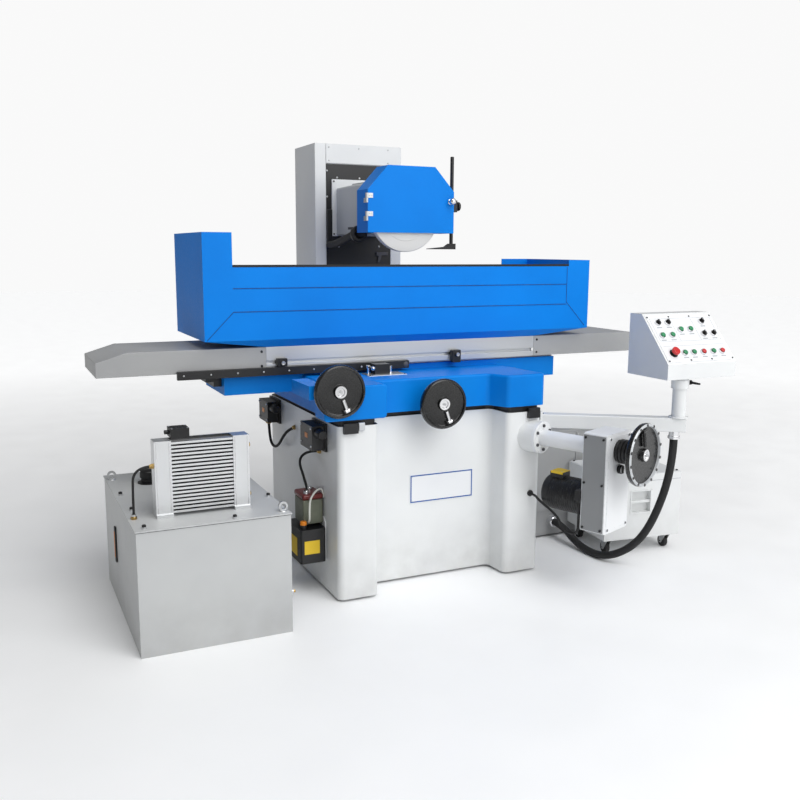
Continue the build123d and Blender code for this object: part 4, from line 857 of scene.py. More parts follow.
# ======================================================================================
# Base, feet and nameplate
# ======================================================================================
@dataclass
class Base:
    """The cast base with its way covers, feet and blank nameplate."""

    plate: tuple[float, float, float, float] = (-111.0, 228.0, 371.0, 511.0)
    plate_front: float = -559.0

    def build(self) -> None:
        """Dress the casting and add what is fixed to it."""
        Bench.dress("base_casting", "frame", "light_paint", Shop.ENAMEL, 0.003, [
            (within((-600, -800, 796.9), (600, 300, 823)), Shop.BLACK),
            (within((-600, -800, 822.9), (600, 300, 830)), Shop.STEEL),
            (within((430, -720, 766), (502, -702, 816)), Shop.BLACK),
            (within((-502, -720, 766), (-432, -702, 813)), Shop.BLACK),
            (within((-112, -560, 370), (229, -557.5, 512)), Shop.WHITE),
        ])
        Bench.dress("levelling_feet", "frame", "dark_metal", Shop.DARK, 0.002)
        self.nameplate()
        self.fittings()

    def nameplate(self) -> None:
        """Frame the blank nameplate and give it four rivets."""
        left, right, low, high = self.plate
        front = self.plate_front
        outline = [mm(left + 4, front, low + 4), mm(right - 4, front, low + 4),
                   mm(right - 4, front, high - 4), mm(left + 4, front, high - 4)]
        face = Bench.sheet("nameplate_face", outline, mm(0, -1.2, 0), 0.0004, hollow=0.006)
        face.data.materials.append(Shop.PLATE_BLUE.material())
        face.data.materials.append(Shop.WHITE.material())
        for side in face.data.polygons:
            side.material_index = int(abs(side.normal.y) > 0.9 and side.area > 0.01)
        Bench.fit(face, "frame", "blue_paint")
        Screws("nameplate_rivets", [(x, front - 1, z) for x in (left + 12, right - 12)
                                    for z in (low + 12, high - 12)],
               (0, -1, 0), 0.003, "frame", Shop.ZINC, "zinc_plate", Head.PAN).build()

    def fittings(self) -> None:
        """Add the cable gland and the plugs of the base."""
        gland = [(0.0, 0.012), (0.0065, 0.012), (0.0075, 0.0125), (0.011, 0.0115), (0.013, 0.008),
                 (0.015, 0.007), (0.015, 0.0), (0.0, 0.0)]
        piece = Bench.lathe("cable_gland", gland, mm(465, -700, 396), Vector((0, -1, 0)), 24)
        Bench.fit(piece, "frame", "black_plastic", Shop.PLASTIC)
        plug = [(0.0, 0.006), (0.022, 0.006), (0.026, 0.003), (0.027, 0.0), (0.0, 0.0)]
        plugs = Bench.lathe("lifting_plugs", plug, mm(521, -350, 300), Vector((1, 0, 0)), 32)
        Bench.repeat(plugs, [mm(0, 420, 0)])
        Bench.fit(plugs, "frame", "black_plastic", Shop.PLASTIC)


# ======================================================================================
# Column and wheel head
# ======================================================================================
@dataclass
class Column:
    """The column with its screws and rear covers."""

    front: float = 323.0
    back: float = 647.0

    def build(self) -> None:
        """Dress the column and add its covers."""
        Bench.dress("column", "frame", "light_paint", Shop.ENAMEL, 0.003)
        outline = [mm(x, self.back, z) for x, z in ((-200, 860), (200, 860), (200, 2040), (-200, 2040))]
        cover = Bench.sheet("column_rear_cover", outline, mm(0, 3, 0), 0.0008, hollow=0.018)
        Bench.fit(cover, "frame", "light_paint", Shop.ENAMEL)
        Screws("column_rear_screws", [(x, self.back + 3, z) for x in (-190, 190)
                                      for z in (870, 1255, 1645, 2030)],
               (0, 1, 0), 0.006, "frame", Shop.ZINC, "zinc_plate").build()
        louvre = Bench.sheet("column_louvres", [mm(-70, self.back + 2.5, 1000),
                                                mm(70, self.back + 2.5, 1000),
                                                mm(70, self.back + 8, 1008),
                                                mm(-70, self.back + 8, 1008)],
                             mm(0, 1, 4), 0.0005)
        Bench.repeat(louvre, [mm(0, 0, 22 * n) for n in range(1, 9)])
        Bench.fit(louvre, "frame", "light_paint", Shop.ENAMEL)
        Screws("column_top_screws", [(x, self.front - 1, 2080) for x in (-170, 0, 170)]
               + [(x, self.front - 1, 2012) for x in (-170, 170)],
               (0, -1, 0), 0.0045, "frame", Shop.ZINC, "zinc_plate").build()


@dataclass
class WheelHead:
    """The wheel head: housing, cover plate, ducts, hood, wheel and coolant rod."""

    plate_front: float = 325.0
    spindle_height: float = 1718.0

    def build(self) -> None:
        """Dress the head and add its fittings."""
        Bench.dress("wheel_head", "head", "cast_grey", Shop.CAST, 0.003, [
            (within((-190, 324.9, 1180), (190, 331, 2000)), Shop.BLACK),
            (within((-158, 312.9, 1620), (151, 324.5, 1917)), Shop.ENAMEL),
        ], segments=3)
        Screws("cover_plate_screws", [(x, self.plate_front, z) for x, z in (
            (-124, 1926), (4, 1926), (-181, 1826), (-183, 1603), (-116, 1567), (118, 1567),
            (130, 1926), (180, 1826), (180, 1603), (-181, 1960), (180, 1960), (-181, 1400),
            (180, 1400), (-181, 1215), (180, 1215))],
            (0, -1, 0), 0.0055, "head", Shop.ZINC, "zinc_plate").build()
        Screws("head_plate_screws", [(x, 313, z) for x, z in ((-147, 1632), (-147, 1905), (140, 1632),
                                                               (140, 1905))],
               (0, -1, 0), 0.005, "head", Shop.BLACK).build()
        self.ducts()
        self.hood()
        self.wheel()
        self.coolant()

    def ducts(self) -> None:
        """Add the cable duct, elbow and hook beside the housing."""
        duct = Bench.block("cable_duct", mm(-188, 300, 1560), mm(-160, 325, 1760), 0.004)
        Bench.fit(duct, "head", "black_plastic", Shop.PLASTIC)
        elbow = Bench.pipe("cable_elbow", [mm(-174, 310, 1575), mm(-174, 250, 1575), mm(-176, 80, 1600),
                                           mm(-176, -40, 1626), mm(-176, -100, 1626),
                                           mm(-140, -110, 1630)], 0.020, 8)
        Bench.fit(elbow, "head", "black_rubber", Shop.RUBBER)
        ring = [(0.024, 0.0), (0.040, 0.0), (0.041, 0.004), (0.041, 0.02), (0.036, 0.024),
                (0.024, 0.024)]
        collar = Bench.lathe("elbow_collar", ring, mm(-176, -84, 1626), Vector((0, -1, 0)), 32)
        Bench.fit(collar, "head", "black_plastic", Shop.PLASTIC)
        hook = Bench.sheet("plate_hook", [mm(x, 325, z) for x, z in (
            (100, 1537), (169, 1537), (169, 1521), (132, 1519), (120, 1483), (106, 1483), (112, 1515),
            (100, 1517))],
            mm(0, -10, 0), 0.0015)
        Bench.fit(hook, "head", "dark_metal", Shop.DARK)
        # A dark strip laid on the housing side where the slot is: painted shade in the slot.
        slot = Bench.sheet("housing_slot_shade", [mm(-132, y, z) for y, z in (
            (-110, 1652), (150, 1652), (150, 1664), (-110, 1664))], mm(-1.2, 0, 0), 0.0004)
        Bench.fit(slot, "head", "dark_metal", Shop.DARK)
        fin = Bench.block("housing_ribs", mm(-70, 40, 1878), mm(-62, 250, 1890), 0.002)
        Bench.repeat(fin, [mm(132, 0, 0)])
        Bench.fit(fin, "head", "cast_grey", Shop.CAST)

    def hood(self) -> None:
        """Dress the wheel hood and its door, and add the latch and the hinge screws."""
        Bench.dress("wheel_hood", "head", "blue_paint", Shop.BLUE, 0.0015, [
            (within((-222, -296, 1600), (-205.2, -240, 1900)), Shop.ZINC),
            (within((252.5, -253, 1734), (289, -211, 1793)), Shop.BLACK),
        ])
        Bench.dress("guard_door", "guard_door", "blue_paint", Shop.BLUE, 0.001, [
            (within((214, -326, 1764), (251, -282.9, 1800)), Shop.CHROME),
            (within((-222, -296, 1600), (-179, -282.5, 1900)), Shop.ZINC),
        ])
        pads = Bench.lathe("latch_flange", [(0.006, 0.0), (0.013, 0.0), (0.013, 0.002),
                                            (0.0105, 0.004), (0.006, 0.004)],
                           mm(232, -282.3, 1782), Vector((0, -1, 0)), 24)
        Bench.fit(pads, "guard_door", "bright_chrome", Shop.CHROME)
        finger = Bench.block("latch_tongue", mm(236, -290, 1770), mm(248, -282.3, 1794), 0.002)
        Bench.fit(finger, "guard_door", "dark_metal", Shop.DARK)
        Screws("hinge_screws", [(x, -285.2, z) for x in (-186, -198) for z in (1717, 1801)],
               (0, -1, 0), 0.0032, "guard_door", Shop.ZINC, "zinc_plate").build()

    def wheel(self) -> None:
        """Replace the plain wheel and spindle with turned ones."""
        z = self.spindle_height
        profile = [(0.0635, 0.0), (0.1245, 0.0), (0.126, -0.002), (0.1745, -0.002), (0.1775, -0.005),
                   (0.1775, -0.036), (0.1745, -0.039), (0.126, -0.0395), (0.1245, -0.040),
                   (0.0635, -0.040)]
        wheel = Bench.lathe("grinding_wheel_dressed", profile, mm(0, -268, z), Vector((0, -1, 0)), 96)
        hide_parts("grinding_wheel")
        Bench.fit(wheel, "spindle", "abrasive", Shop.ABRASIVE)
        Bench.dress("spindle", "spindle", "ground_steel", Shop.STEEL_ROUND, 0.001)
        blotter = Bench.lathe("wheel_blotter", [(0.0, 0.0), (0.0, 0.0032), (0.020, 0.0032),
                                                (0.030, 0.0040),
                                                (0.078, 0.0036), (0.084, 0.0026), (0.084, 0.0)],
                              mm(0, -272, z), Vector((0, -1, 0)), 48)
        Bench.fit(blotter, "spindle", "dark_metal", Shop.DARK)

    def coolant(self) -> None:
        """Dress the coolant rod and its clamp knob."""
        Bench.dress("coolant_rod", "coolant_rod", "black_paint", Shop.BLACK, 0.001)
        Bench.dress("rod_clamp_knob", "rod_clamp_knob", "black_plastic", Shop.PLASTIC, 0.001)
        cap = Bench.rod("coolant_rod_tip", mm(266, -232, 2000), mm(266, -232, 2001.5), 0.0075, 0.0005,
                        24)
        Bench.fit(cap, "coolant_rod", "black_paint", Shop.BLACK)


# ======================================================================================
# Saddle, table and splash guard
# ======================================================================================
class Saddle:
    """The blue saddle, its way bed, the table drive box and the reversing unit."""

    def build(self) -> None:
        """Dress the saddle group and add its fittings."""
        Bench.dress("saddle", "saddle", "blue_paint", Shop.BLUE_CAST, 0.003, [
            (within((-1000, -301, 899), (-912, 61, 1001)), Shop.BLACK),
            (within((-913, -301, 899), (857, 61, 1000.5)), Shop.BLUE_CAST),
            (within((-913, -285, 1000.6), (857, 61, 1013)), Shop.STEEL),
        ], segments=3)
        Bench.dress("table_drive_box", "saddle", "blue_paint", Shop.BLUE_CAST, 0.002, [
            (within((-283, -481, 974.5), (-89, -377, 978.5)), Shop.ALUMINIUM),
            (within((-246, -446, 978.6), (-160, -388, 1026)), Shop.BLACK),
            (within((-160, -428, 978.6), (-140, -408, 1013)), Shop.CHROME),
        ])
        Bench.dress("reversing_lever", "reversing_lever", "bright_chrome", Shop.CHROME, 0.0008)
        tongue = Bench.sheet("drive_box_tongue", [mm(-430, y, z) for y, z in (
            (-701, 812), (-713, 812), (-716, 800), (-714, 778), (-701, 772))], mm(28, 0, 0), 0.002)
        Bench.fit(tongue, "frame", "light_paint", Shop.CAST)
        Screws("reversing_plate_screws", [(x, y, 978) for x in (-274, -98) for y in (-471, -387)],
               (0, 0, 1), 0.004, "saddle", Shop.BLACK).build()
        boss = [(0.013, 0.0), (0.034, 0.0), (0.034, 0.0055), (0.031, 0.0075), (0.013, 0.0075)]
        for name, x, y, z in (("table_shaft_boss", -530, -720, 959),
                              ("cross_shaft_boss", -15, -600, 866)):
            ring = Bench.lathe(name, boss, mm(x, y, z), Vector((0, -1, 0)), 36)
            Bench.fit(ring, "saddle", "dark_metal", Shop.BLACK)
        bellows = Bench.block("way_bellows", mm(-300, 240, 830), mm(300, 246, 895), 0.002)
        Bench.repeat(bellows, [mm(0, 9 * n, 0) for n in range(1, 4)])
        Bench.fit(bellows, "saddle", "black_rubber", Shop.RUBBER)


@dataclass
class Table:
    """The steel table, its end covers, rack, trip dogs and magnetic chuck."""

    front: float = -330.0
    rack: tuple[float, float, float, float] = (-1127.0, -18.0, 987.0, 1024.0)

    def build(self) -> None:
        """Dress the table group and add its fittings."""
        Bench.dress("table", "table", "ground_steel", Shop.STEEL, 0.0015, [
            (within((-1130, -353, 986), (-17, -329.9, 1025)), Shop.BLACK)])
        # The light-painted end covers take the mid grey enamel copy: painted shade.
        Bench.dress("table_end_covers", "table", "light_paint", Shop.SHADED_ENAMEL, 0.002)
        Bench.dress("magnetic_chuck", "table", "ground_steel", Shop.STEEL, 0.001)
        for side in ("left", "right"):
            dog = f"trip_dog_{side}"
            Bench.dress(dog, dog, "dark_metal", Shop.BLACK, 0.0015)
        left, right, low, high = self.rack
        middle = (low + high) / 2
        Screws("rack_screws", [(x, self.front - 22, middle) for x in range(-1100, -30, 119)],
               (0, -1, 0), 0.0045, "table", Shop.ZINC, "zinc_plate").build()
        tip = Bench.lathe("rack_nose", [(0.0, 0.003), (0.010, 0.003), (0.0135, 0.0), (0.0, 0.0)],
                          mm(right - 17, self.front - 22, middle), Vector((0, -1, 0)), 28)
        Bench.fit(tip, "table", "dark_metal", Shop.DARK)
        Screws("end_cover_screws", [(x, self.front, z) for x, z in (
            (-745, 1095), (-745, 1030), (727, 1095), (727, 1030))],
            (0, -1, 0), 0.006, "table", Shop.BLACK).build()
        Screws("end_cover_rear_screws", [(x, 85, z) for x, z in (
            (-745, 1095), (-745, 1030), (727, 1095), (727, 1030))],
            (0, 1, 0), 0.006, "table", Shop.BLACK).build()
        for side, x in (("left", -656), ("right", 240)):
            Screws(f"trip_dog_{side}_screw", [(x, -363.3, 1043)],
                   (0, -1, 0), 0.009, f"trip_dog_{side}", Shop.ZINC, "zinc_plate", Head.SOCKET).build()
        self.chuck()

    def chuck(self) -> None:
        """Add the pole lines, end key and rail of the magnetic chuck."""
        pole = Bench.block("chuck_poles", mm(-490, -316, 1195), mm(-488, 71, 1195.25), 0.0)
        Bench.repeat(pole, [mm(14 * n, 0, 0) for n in range(1, 70)])
        Bench.fit(pole, "table", "ground_steel", Shop.BRASS)
        rail = Bench.block("chuck_rear_rail", mm(-498, 77, 1170), mm(498, 83, 1196), 0.0012)
        Bench.fit(rail, "table", "ground_steel", Shop.STEEL)
        key = Bench.lathe("chuck_key", [(0.0, 0.02), (0.009, 0.02), (0.010, 0.018), (0.010, 0.004),
                                        (0.016, 0.003), (0.016, 0.0), (0.0, 0.0)],
                          mm(500, -250, 1160), Vector((1, 0, 0)), 24)
        Bench.fit(key, "table", "dark_metal", Shop.DARK)
        Screws("chuck_clamp_screws", [(x, y, 1137) for x in (-512, 512) for y in (-250, 10)],
               (0, 0, 1), 0.009, "table", Shop.DARK, head=Head.SOCKET).build()


@dataclass
class SplashGuard:
    """The blue guard round the table, with its folds, seams and seals."""

    front: float = -374.0
    folds: Pair = (1380.0, 1278.0)
    top: float = 1481.0

    def build(self) -> None:
        """Dress the guard and add painted shadow lines along its folds, edging and screws."""
        Bench.dress("splash_guard", "table", "blue_paint", Shop.BLUE, 0.0012)
        proud = self.front - 0.4
        step = (871.0, 14.0)
        # Thin dark blue rods along the folds and seams: painted shadow in the creases.
        lines = [
            [(-880, self.folds[0]), (step[0], self.folds[0])],
            [(-880, self.folds[1]), (step[0], self.folds[1])],
            [(step[0], self.top - step[1]), (step[0], 1290)],
            [(step[0], 1290), (990, 1165)],
            [(-880, self.folds[1]), (-1000, 1156)],
        ]
        made = []
        for (x0, z0), (x1, z1) in lines:
            made.append(Bench.rod("fold_shadow_line", mm(x0, proud, z0), mm(x1, proud, z1), 0.0015, 0.0, 8))
        folds = Bench.join(*made)
        folds.name = "fold_shadow_lines"
        Bench.fit(folds, "table", "blue_paint", Finish(
            "fold_shadow", (4, 74, 150), (3, 66, 138), 0.6, grain=200, relief=0.05))
        edge = []
        for x0, x1, y, z in ((-880, 880, self.front + 2, self.top), (-833, 833, 210, 1215)):
            edge.append(Bench.block("guard_edging", mm(x0, y - 3.5, z - 9), mm(x1, y + 3.5, z + 1.5),
                                    0.0012))
        strip = Bench.join(*edge)
        Bench.fit(strip, "table", "black_rubber", Shop.RUBBER)
        Screws("guard_rear_screws", [(x, 212, z) for x in (-960, -880, 880, 960) for z in (1180, 1440)]
               + [(x, 212, 1185) for x in (-500, 0, 500)],
               (0, 1, 0), 0.006, "table", Shop.ZINC, "zinc_plate").build()
        drain = Bench.lathe("tray_drain", [(0.012, 0.0), (0.028, 0.0), (0.030, 0.003), (0.026, 0.005),
                                           (0.012, 0.004)],
                            mm(-860, 100, 1134), Vector((0, 0, 1)), 28)
        Bench.fit(drain, "table", "dark_metal", Shop.DARK)


# ======================================================================================
# Handwheels
# ======================================================================================
@dataclass
class Handwheel:
    """A dished handwheel with a bright hub, a dial ring and a folding grip."""

    name: str
    centre: Vector
    axis: Vector
    radius: float
    body: str
    grip: str
    grip_body: str
    ring: Finish
    holes: int = 0
    fold_angle: float = -70.0

    def build(self) -> None:
        """Turn the wheel and dress its grip."""
        rim, disc = self.radius, 0.030
        profile = [
            (0.0, -0.002), (0.006, -0.002), (0.008, -0.0045), (0.016, -0.0045), (0.018, 0.0),
            (0.026, 0.0),
            (0.028, -0.003), (0.031, -0.014), (0.034, -0.015), (rim - 0.020, -0.015),
            (rim - 0.014, -0.012),
            (rim - 0.0125, -0.002), (rim - 0.009, -0.0006), (rim - 0.0056, -0.0020),
            (rim - 0.0018, -0.0064),
            (rim, -0.0115), (rim, -disc + 0.009), (rim - 0.002, -disc + 0.003), (rim - 0.008, -disc),
            (rim - 0.022, -disc + 0.001), (0.040, -disc + 0.001), (0.034, -disc), (0.0, -disc),
        ]
        wheel = Bench.lathe(f"{self.name}_dressed", profile, self.centre, self.axis, 72)
        wheel.data.materials.clear()
        for one in (Shop.GLOSS_BLACK, Shop.CHROME, self.ring):
            wheel.data.materials.append(one.material())
        for face in wheel.data.polygons:
            away = face.center - self.centre
            depth = away.dot(self.axis)
            out = (away - self.axis * depth).length
            front = depth > -0.008
            if out < 0.0265 and front:
                face.material_index = 1
            elif self.holes and rim - 0.0135 < out < rim - 0.0035 and front:
                face.material_index = 2
        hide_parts(self.name)
        Bench.fit(wheel, self.body, "black_plastic")
        shaft = Bench.lathe(f"{self.name}_shaft", [(0.0, -disc), (0.024, -disc),
                                                   (0.024, -disc - 0.0015),
                                                   (0.0119, -disc - 0.0020), (0.0119, -disc - 0.03),
                                                   (0.0, -disc - 0.03)],
                            self.centre, self.axis, 36)
        Bench.fit(shaft, self.body, "ground_steel", Shop.STEEL_ROUND)
        self.details()
        self.ears()
        Bench.dress(self.grip, self.grip_body, "bright_chrome",
                    Shop.CHROME if not self.holes else Shop.GLOSS_BLACK, 0.0008)

    def ears(self) -> None:
        """Add the two ears that hold the pin of the folding grip."""
        turn = math.radians(self.fold_angle)
        outward = Vector((math.cos(turn), 0.0, math.sin(turn)))
        if self.holes:
            side = Vector((0, 0, 1)).cross(self.axis)
            outward = side * math.cos(turn) + Vector((0, 0, 1)) * math.sin(turn)
        hinge = self.centre + outward * (self.radius - 0.028) - self.axis * 0.005
        pin = self.axis.cross(outward)
        outline = [(-0.009, -0.010), (0.009, -0.010), (0.009, 0.003), (0.004, 0.008), (-0.004, 0.008),
                   (-0.009, 0.003)]
        first = Bench.sheet(f"{self.name}_ears",
                            [hinge + outward * a + self.axis * b + pin * 0.0103 for a, b in outline],
                            pin * 0.007, 0.0008)
        Bench.repeat(first, [pin * -0.0276])
        Bench.fit(first, self.body, "black_plastic", Shop.GLOSS_BLACK)

    def details(self) -> None:
        """Add the key screw, the dial marks and the scallops of the rim."""
        side = self.axis.cross(Vector((0, 0, 1))).normalized()
        up = side.cross(self.axis).normalized()
        mark = Bench.block(f"{self.name}_marks", Vector((-0.0006, -0.0003, -0.0022)),
                           Vector((0.0006, 0.0003, 0.0022)), 0.0)
        spots = []
        frame_turn = Matrix((side, self.axis, up)).transposed().to_4x4()
        count = 40
        for number in range(count):
            turn = Matrix.Rotation(math.tau * number / count, 4, "Y")
            spots.append(Matrix.Translation(self.centre + self.axis * -0.0042) @ frame_turn @ turn
                         @ Matrix.Translation((0, 0, 0.0232)))
        mark.data.transform(spots[0])
        inverse = spots[0].inverted()
        Bench.repeat(mark, [spot @ inverse for spot in spots[1:]])
        Bench.fit(mark, self.body, "bright_chrome", Shop.DARK)
        screw = Bench.lathe(f"{self.name}_nut", [(0.0, 0.004), (0.0035, 0.004), (0.004, 0.0015),
                                                 (0.008, 0.0015),
                                                 (0.008, -0.003), (0.0, -0.003)], self.centre,
                                                 self.axis, 6)
        Bench.fit(screw, self.body, "bright_chrome", Shop.ZINC)
        if self.holes:
            lug = Bench.lathe(f"{self.name}_scallops", [(0.0, 0.0006), (0.006, 0.0006),
                                                        (0.0075, -0.002), (0.0, -0.002)],
                              self.centre + up * (self.radius - 0.0082), self.axis, 20)
            moves = [Matrix.Translation(self.centre)
                     @ Matrix.Rotation(math.tau * n / self.holes, 4, self.axis)
                     @ Matrix.Translation(-self.centre) for n in range(1, self.holes)]
            Bench.repeat(lug, moves)
            Bench.fit(lug, self.body, "black_plastic", Shop.GLOSS_BLACK)


class Handwheels:
    """The three handwheels of the machine."""

    def build(self) -> None:
        """Build the table, cross feed and elevation handwheels."""
        front = Vector((0, -1, 0))
        drive = Vector((0.371368, -0.928486, 0.0))
        Handwheel("table_handwheel", mm(-530, -760, 959), front, 0.115, "table_handwheel",
                  "table_grip", "table_grip", Shop.GLOSS_BLACK).build()
        Handwheel("cross_handwheel", mm(-15, -720, 866), front, 0.115, "cross_handwheel",
                  "cross_grip", "cross_grip", Shop.GLOSS_BLACK).build()
        Handwheel("elevation_handwheel", mm(691.995, -1252.524, 678), drive, 0.140,
                  "elevation_handwheel",
                  "elevation_grip", "elevation_grip", Shop.CAST, 14, 100.0).build()


# ======================================================================================
# Elevating drive
# ======================================================================================
@dataclass
class ElevatingDrive:
    """The elevating gearbox, its motor, clutch knob and dog point."""

    angle: float = 21.8
    origin: Point = (487.0, -740.0, 678.0)
    case: tuple[float, float, float, float, float] = (300.0, 418.0, 100.0, 310.0, 760.0)

    def at(self, along: float, across: float, height: float) -> Vector:
        """Give a point from its places along and across the drive, and its height.

        Args:
            along: Millimetres towards the operator.
            across: Millimetres to the right of the drive axis.
            height: Millimetres above the floor.

        Returns:
            The point.
        """
        turn = math.radians(self.angle)
        x = self.origin[0] + math.sin(turn) * along + math.cos(turn) * across
        y = self.origin[1] - math.cos(turn) * along + math.sin(turn) * across
        return mm(x, y, height)

    @property
    def out(self) -> Vector:
        """Direction of the drive axis, towards the operator."""
        return (self.at(1000, 0, 0) - self.at(0, 0, 0)).normalized()

    @property
    def right(self) -> Vector:
        """Direction to the right of the drive axis."""
        return (self.at(0, 1000, 0) - self.at(0, 0, 0)).normalized()

    def build(self) -> None:
        """Dress the drive and add covers, screws and ribs."""
        back, front, half, low, high = self.case
        left = -self.right
        neck = self.at(front, 0, 678)

        def is_neck(centre: Vector, _: Vector) -> bool:
            """Say whether a face is on the round neck."""
            return (centre - neck).dot(self.out) > 0.0008 and abs(centre.z - 0.678) < 0.054

        # The drive case takes the lighter enamel copy: painted light.
        Bench.dress("elevation_housing", "frame", "light_paint", Shop.LIT_ENAMEL, 0.003, [
            (is_neck, Shop.BLACK)], segments=3)
        outline = [self.at(a, -half - 6, h) for a, h in (
            (back + 4, low + 8), (front - 4, low + 8), (front - 4, high - 8), (back + 4, high - 8))]
        cover = Bench.sheet("gearbox_side_cover", outline, left * 0.003, 0.0008)
        # The light-enamel side cover takes the darker grey copy: painted shade.
        Bench.fit(cover, "frame", "cast_grey", Shop.SHADED_ENAMEL_DARK)
        spots = [self.at(a, -half - 9, h) * 1000 for a in (back + 14, front - 14) for h in (330, 535,
                740)]
        Screws("gearbox_side_screws", [tuple(s) for s in spots], tuple(left), 0.0055, "frame",
               Shop.BLACK, head=Head.SOCKET).build()
        corners = [self.at(front + 1.5, a, h) * 1000 for a in (-80, 80) for h in (330, 740)]
        Screws("gearbox_front_screws", [tuple(s) for s in corners], tuple(self.out), 0.0055,
               "frame", Shop.DARK, head=Head.SOCKET).build()
        lip = [self.at(front, a, h) for a, h in ((-86, 324), (86, 324), (86, 746), (-86, 746))]
        plate = Bench.sheet("gearbox_front_plate", lip, self.out * 0.0015, 0.0006)
        # The front plate also takes the lighter enamel copy: painted light.
        Bench.fit(plate, "frame", "light_paint", Shop.LIT_ENAMEL)
        ridge = [(0.0505, 0.010), (0.0545, 0.012), (0.0545, 0.019), (0.0505, 0.021)]
        ribs = Bench.lathe("neck_ribs", ridge, neck, self.out, 56)
        Bench.repeat(ribs, [self.out * 0.017 * n for n in range(1, 4)])
        Bench.fit(ribs, "frame", "dark_metal", Shop.BLACK)
        flange = Bench.lathe("tube_flange", [(0.0385, 0.0), (0.071, 0.0), (0.0735, -0.004),
                                             (0.0735, -0.012), (0.0385, -0.012)],
                             self.at(18, 0, 678), self.out, 56, 0.0)
        Bench.fit(flange, "frame", "light_paint", Shop.ENAMEL)
        bolts = [self.at(18, 57 * math.cos(t), 678 + 57 * math.sin(t)) * 1000
                 for t in [math.radians(30 + 60 * n) for n in range(6)]]
        Screws("tube_flange_bolts", [tuple(b) for b in bolts], tuple(self.out), 0.0075, "frame",
               Shop.DARK, head=Head.SOCKET).build()
        self.knob()
        self.motor()

    def knob(self) -> None:
        """Dress the clutch knob and face its bar with bright metal."""
        Bench.dress("elevation_knob", "elevation_knob", "black_plastic", Shop.PLASTIC, 0.0015)
        face = Bench.lathe("clutch_knob_face", [(0.0, 0.0008), (0.0155, 0.0008), (0.0165, 0.0),
                                                (0.0, -0.0006)],
                           self.at(436.2, 5, 594), self.out, 36)
        Bench.fit(face, "elevation_knob", "cast_grey", Shop.ALUMINIUM)

    def motor(self) -> None:
        """Dress the motor and add bands, fan cover and terminal box."""
        Bench.dress("elevation_motor", "frame", "black_paint", Shop.BLACK, 0.002, segments=3)
        band = [(0.0795, 0.0), (0.0822, 0.0008), (0.0822, 0.0042), (0.0795, 0.005)]
        ribs = Bench.lathe("motor_fins", band, self.at(98, 0, 432), self.out, 64)
        Bench.repeat(ribs, [self.out * 0.0125 * n for n in range(1, 14)])
        Bench.fit(ribs, "frame", "black_paint", Shop.BLACK)
        slot = Bench.lathe("motor_fan_grille", [(0.014, 0.0), (0.017, -0.0016), (0.020, 0.0)],
                           self.at(62, 0, 432), self.out, 40)
        rings = [Matrix.Translation(self.at(62, 0, 432)) @ Matrix.Scale(1 + 0.5 * n, 4)
                 @ Matrix.Translation(-self.at(62, 0, 432)) for n in range(1, 5)]
        Bench.repeat(slot, rings)
        Bench.fit(slot, "frame", "black_paint", Shop.DARK)
        sides = [self.at(a, c, 526) for a, c in ((88, -34), (152, -34), (152, 34), (88, 34))]
        box = Bench.sheet("motor_terminal_box", sides, mm(0, 0, 12), 0.002)
        Bench.fit(box, "frame", "black_plastic", Shop.YELLOW)
        spots = [self.at(a, c, 538) * 1000 for a in (94, 146) for c in (-28, 28)]
        Screws("terminal_box_screws", [tuple(s) for s in spots], (0, 0, 1), 0.003, "frame",
               Shop.ZINC, "zinc_plate", Head.PAN).build()


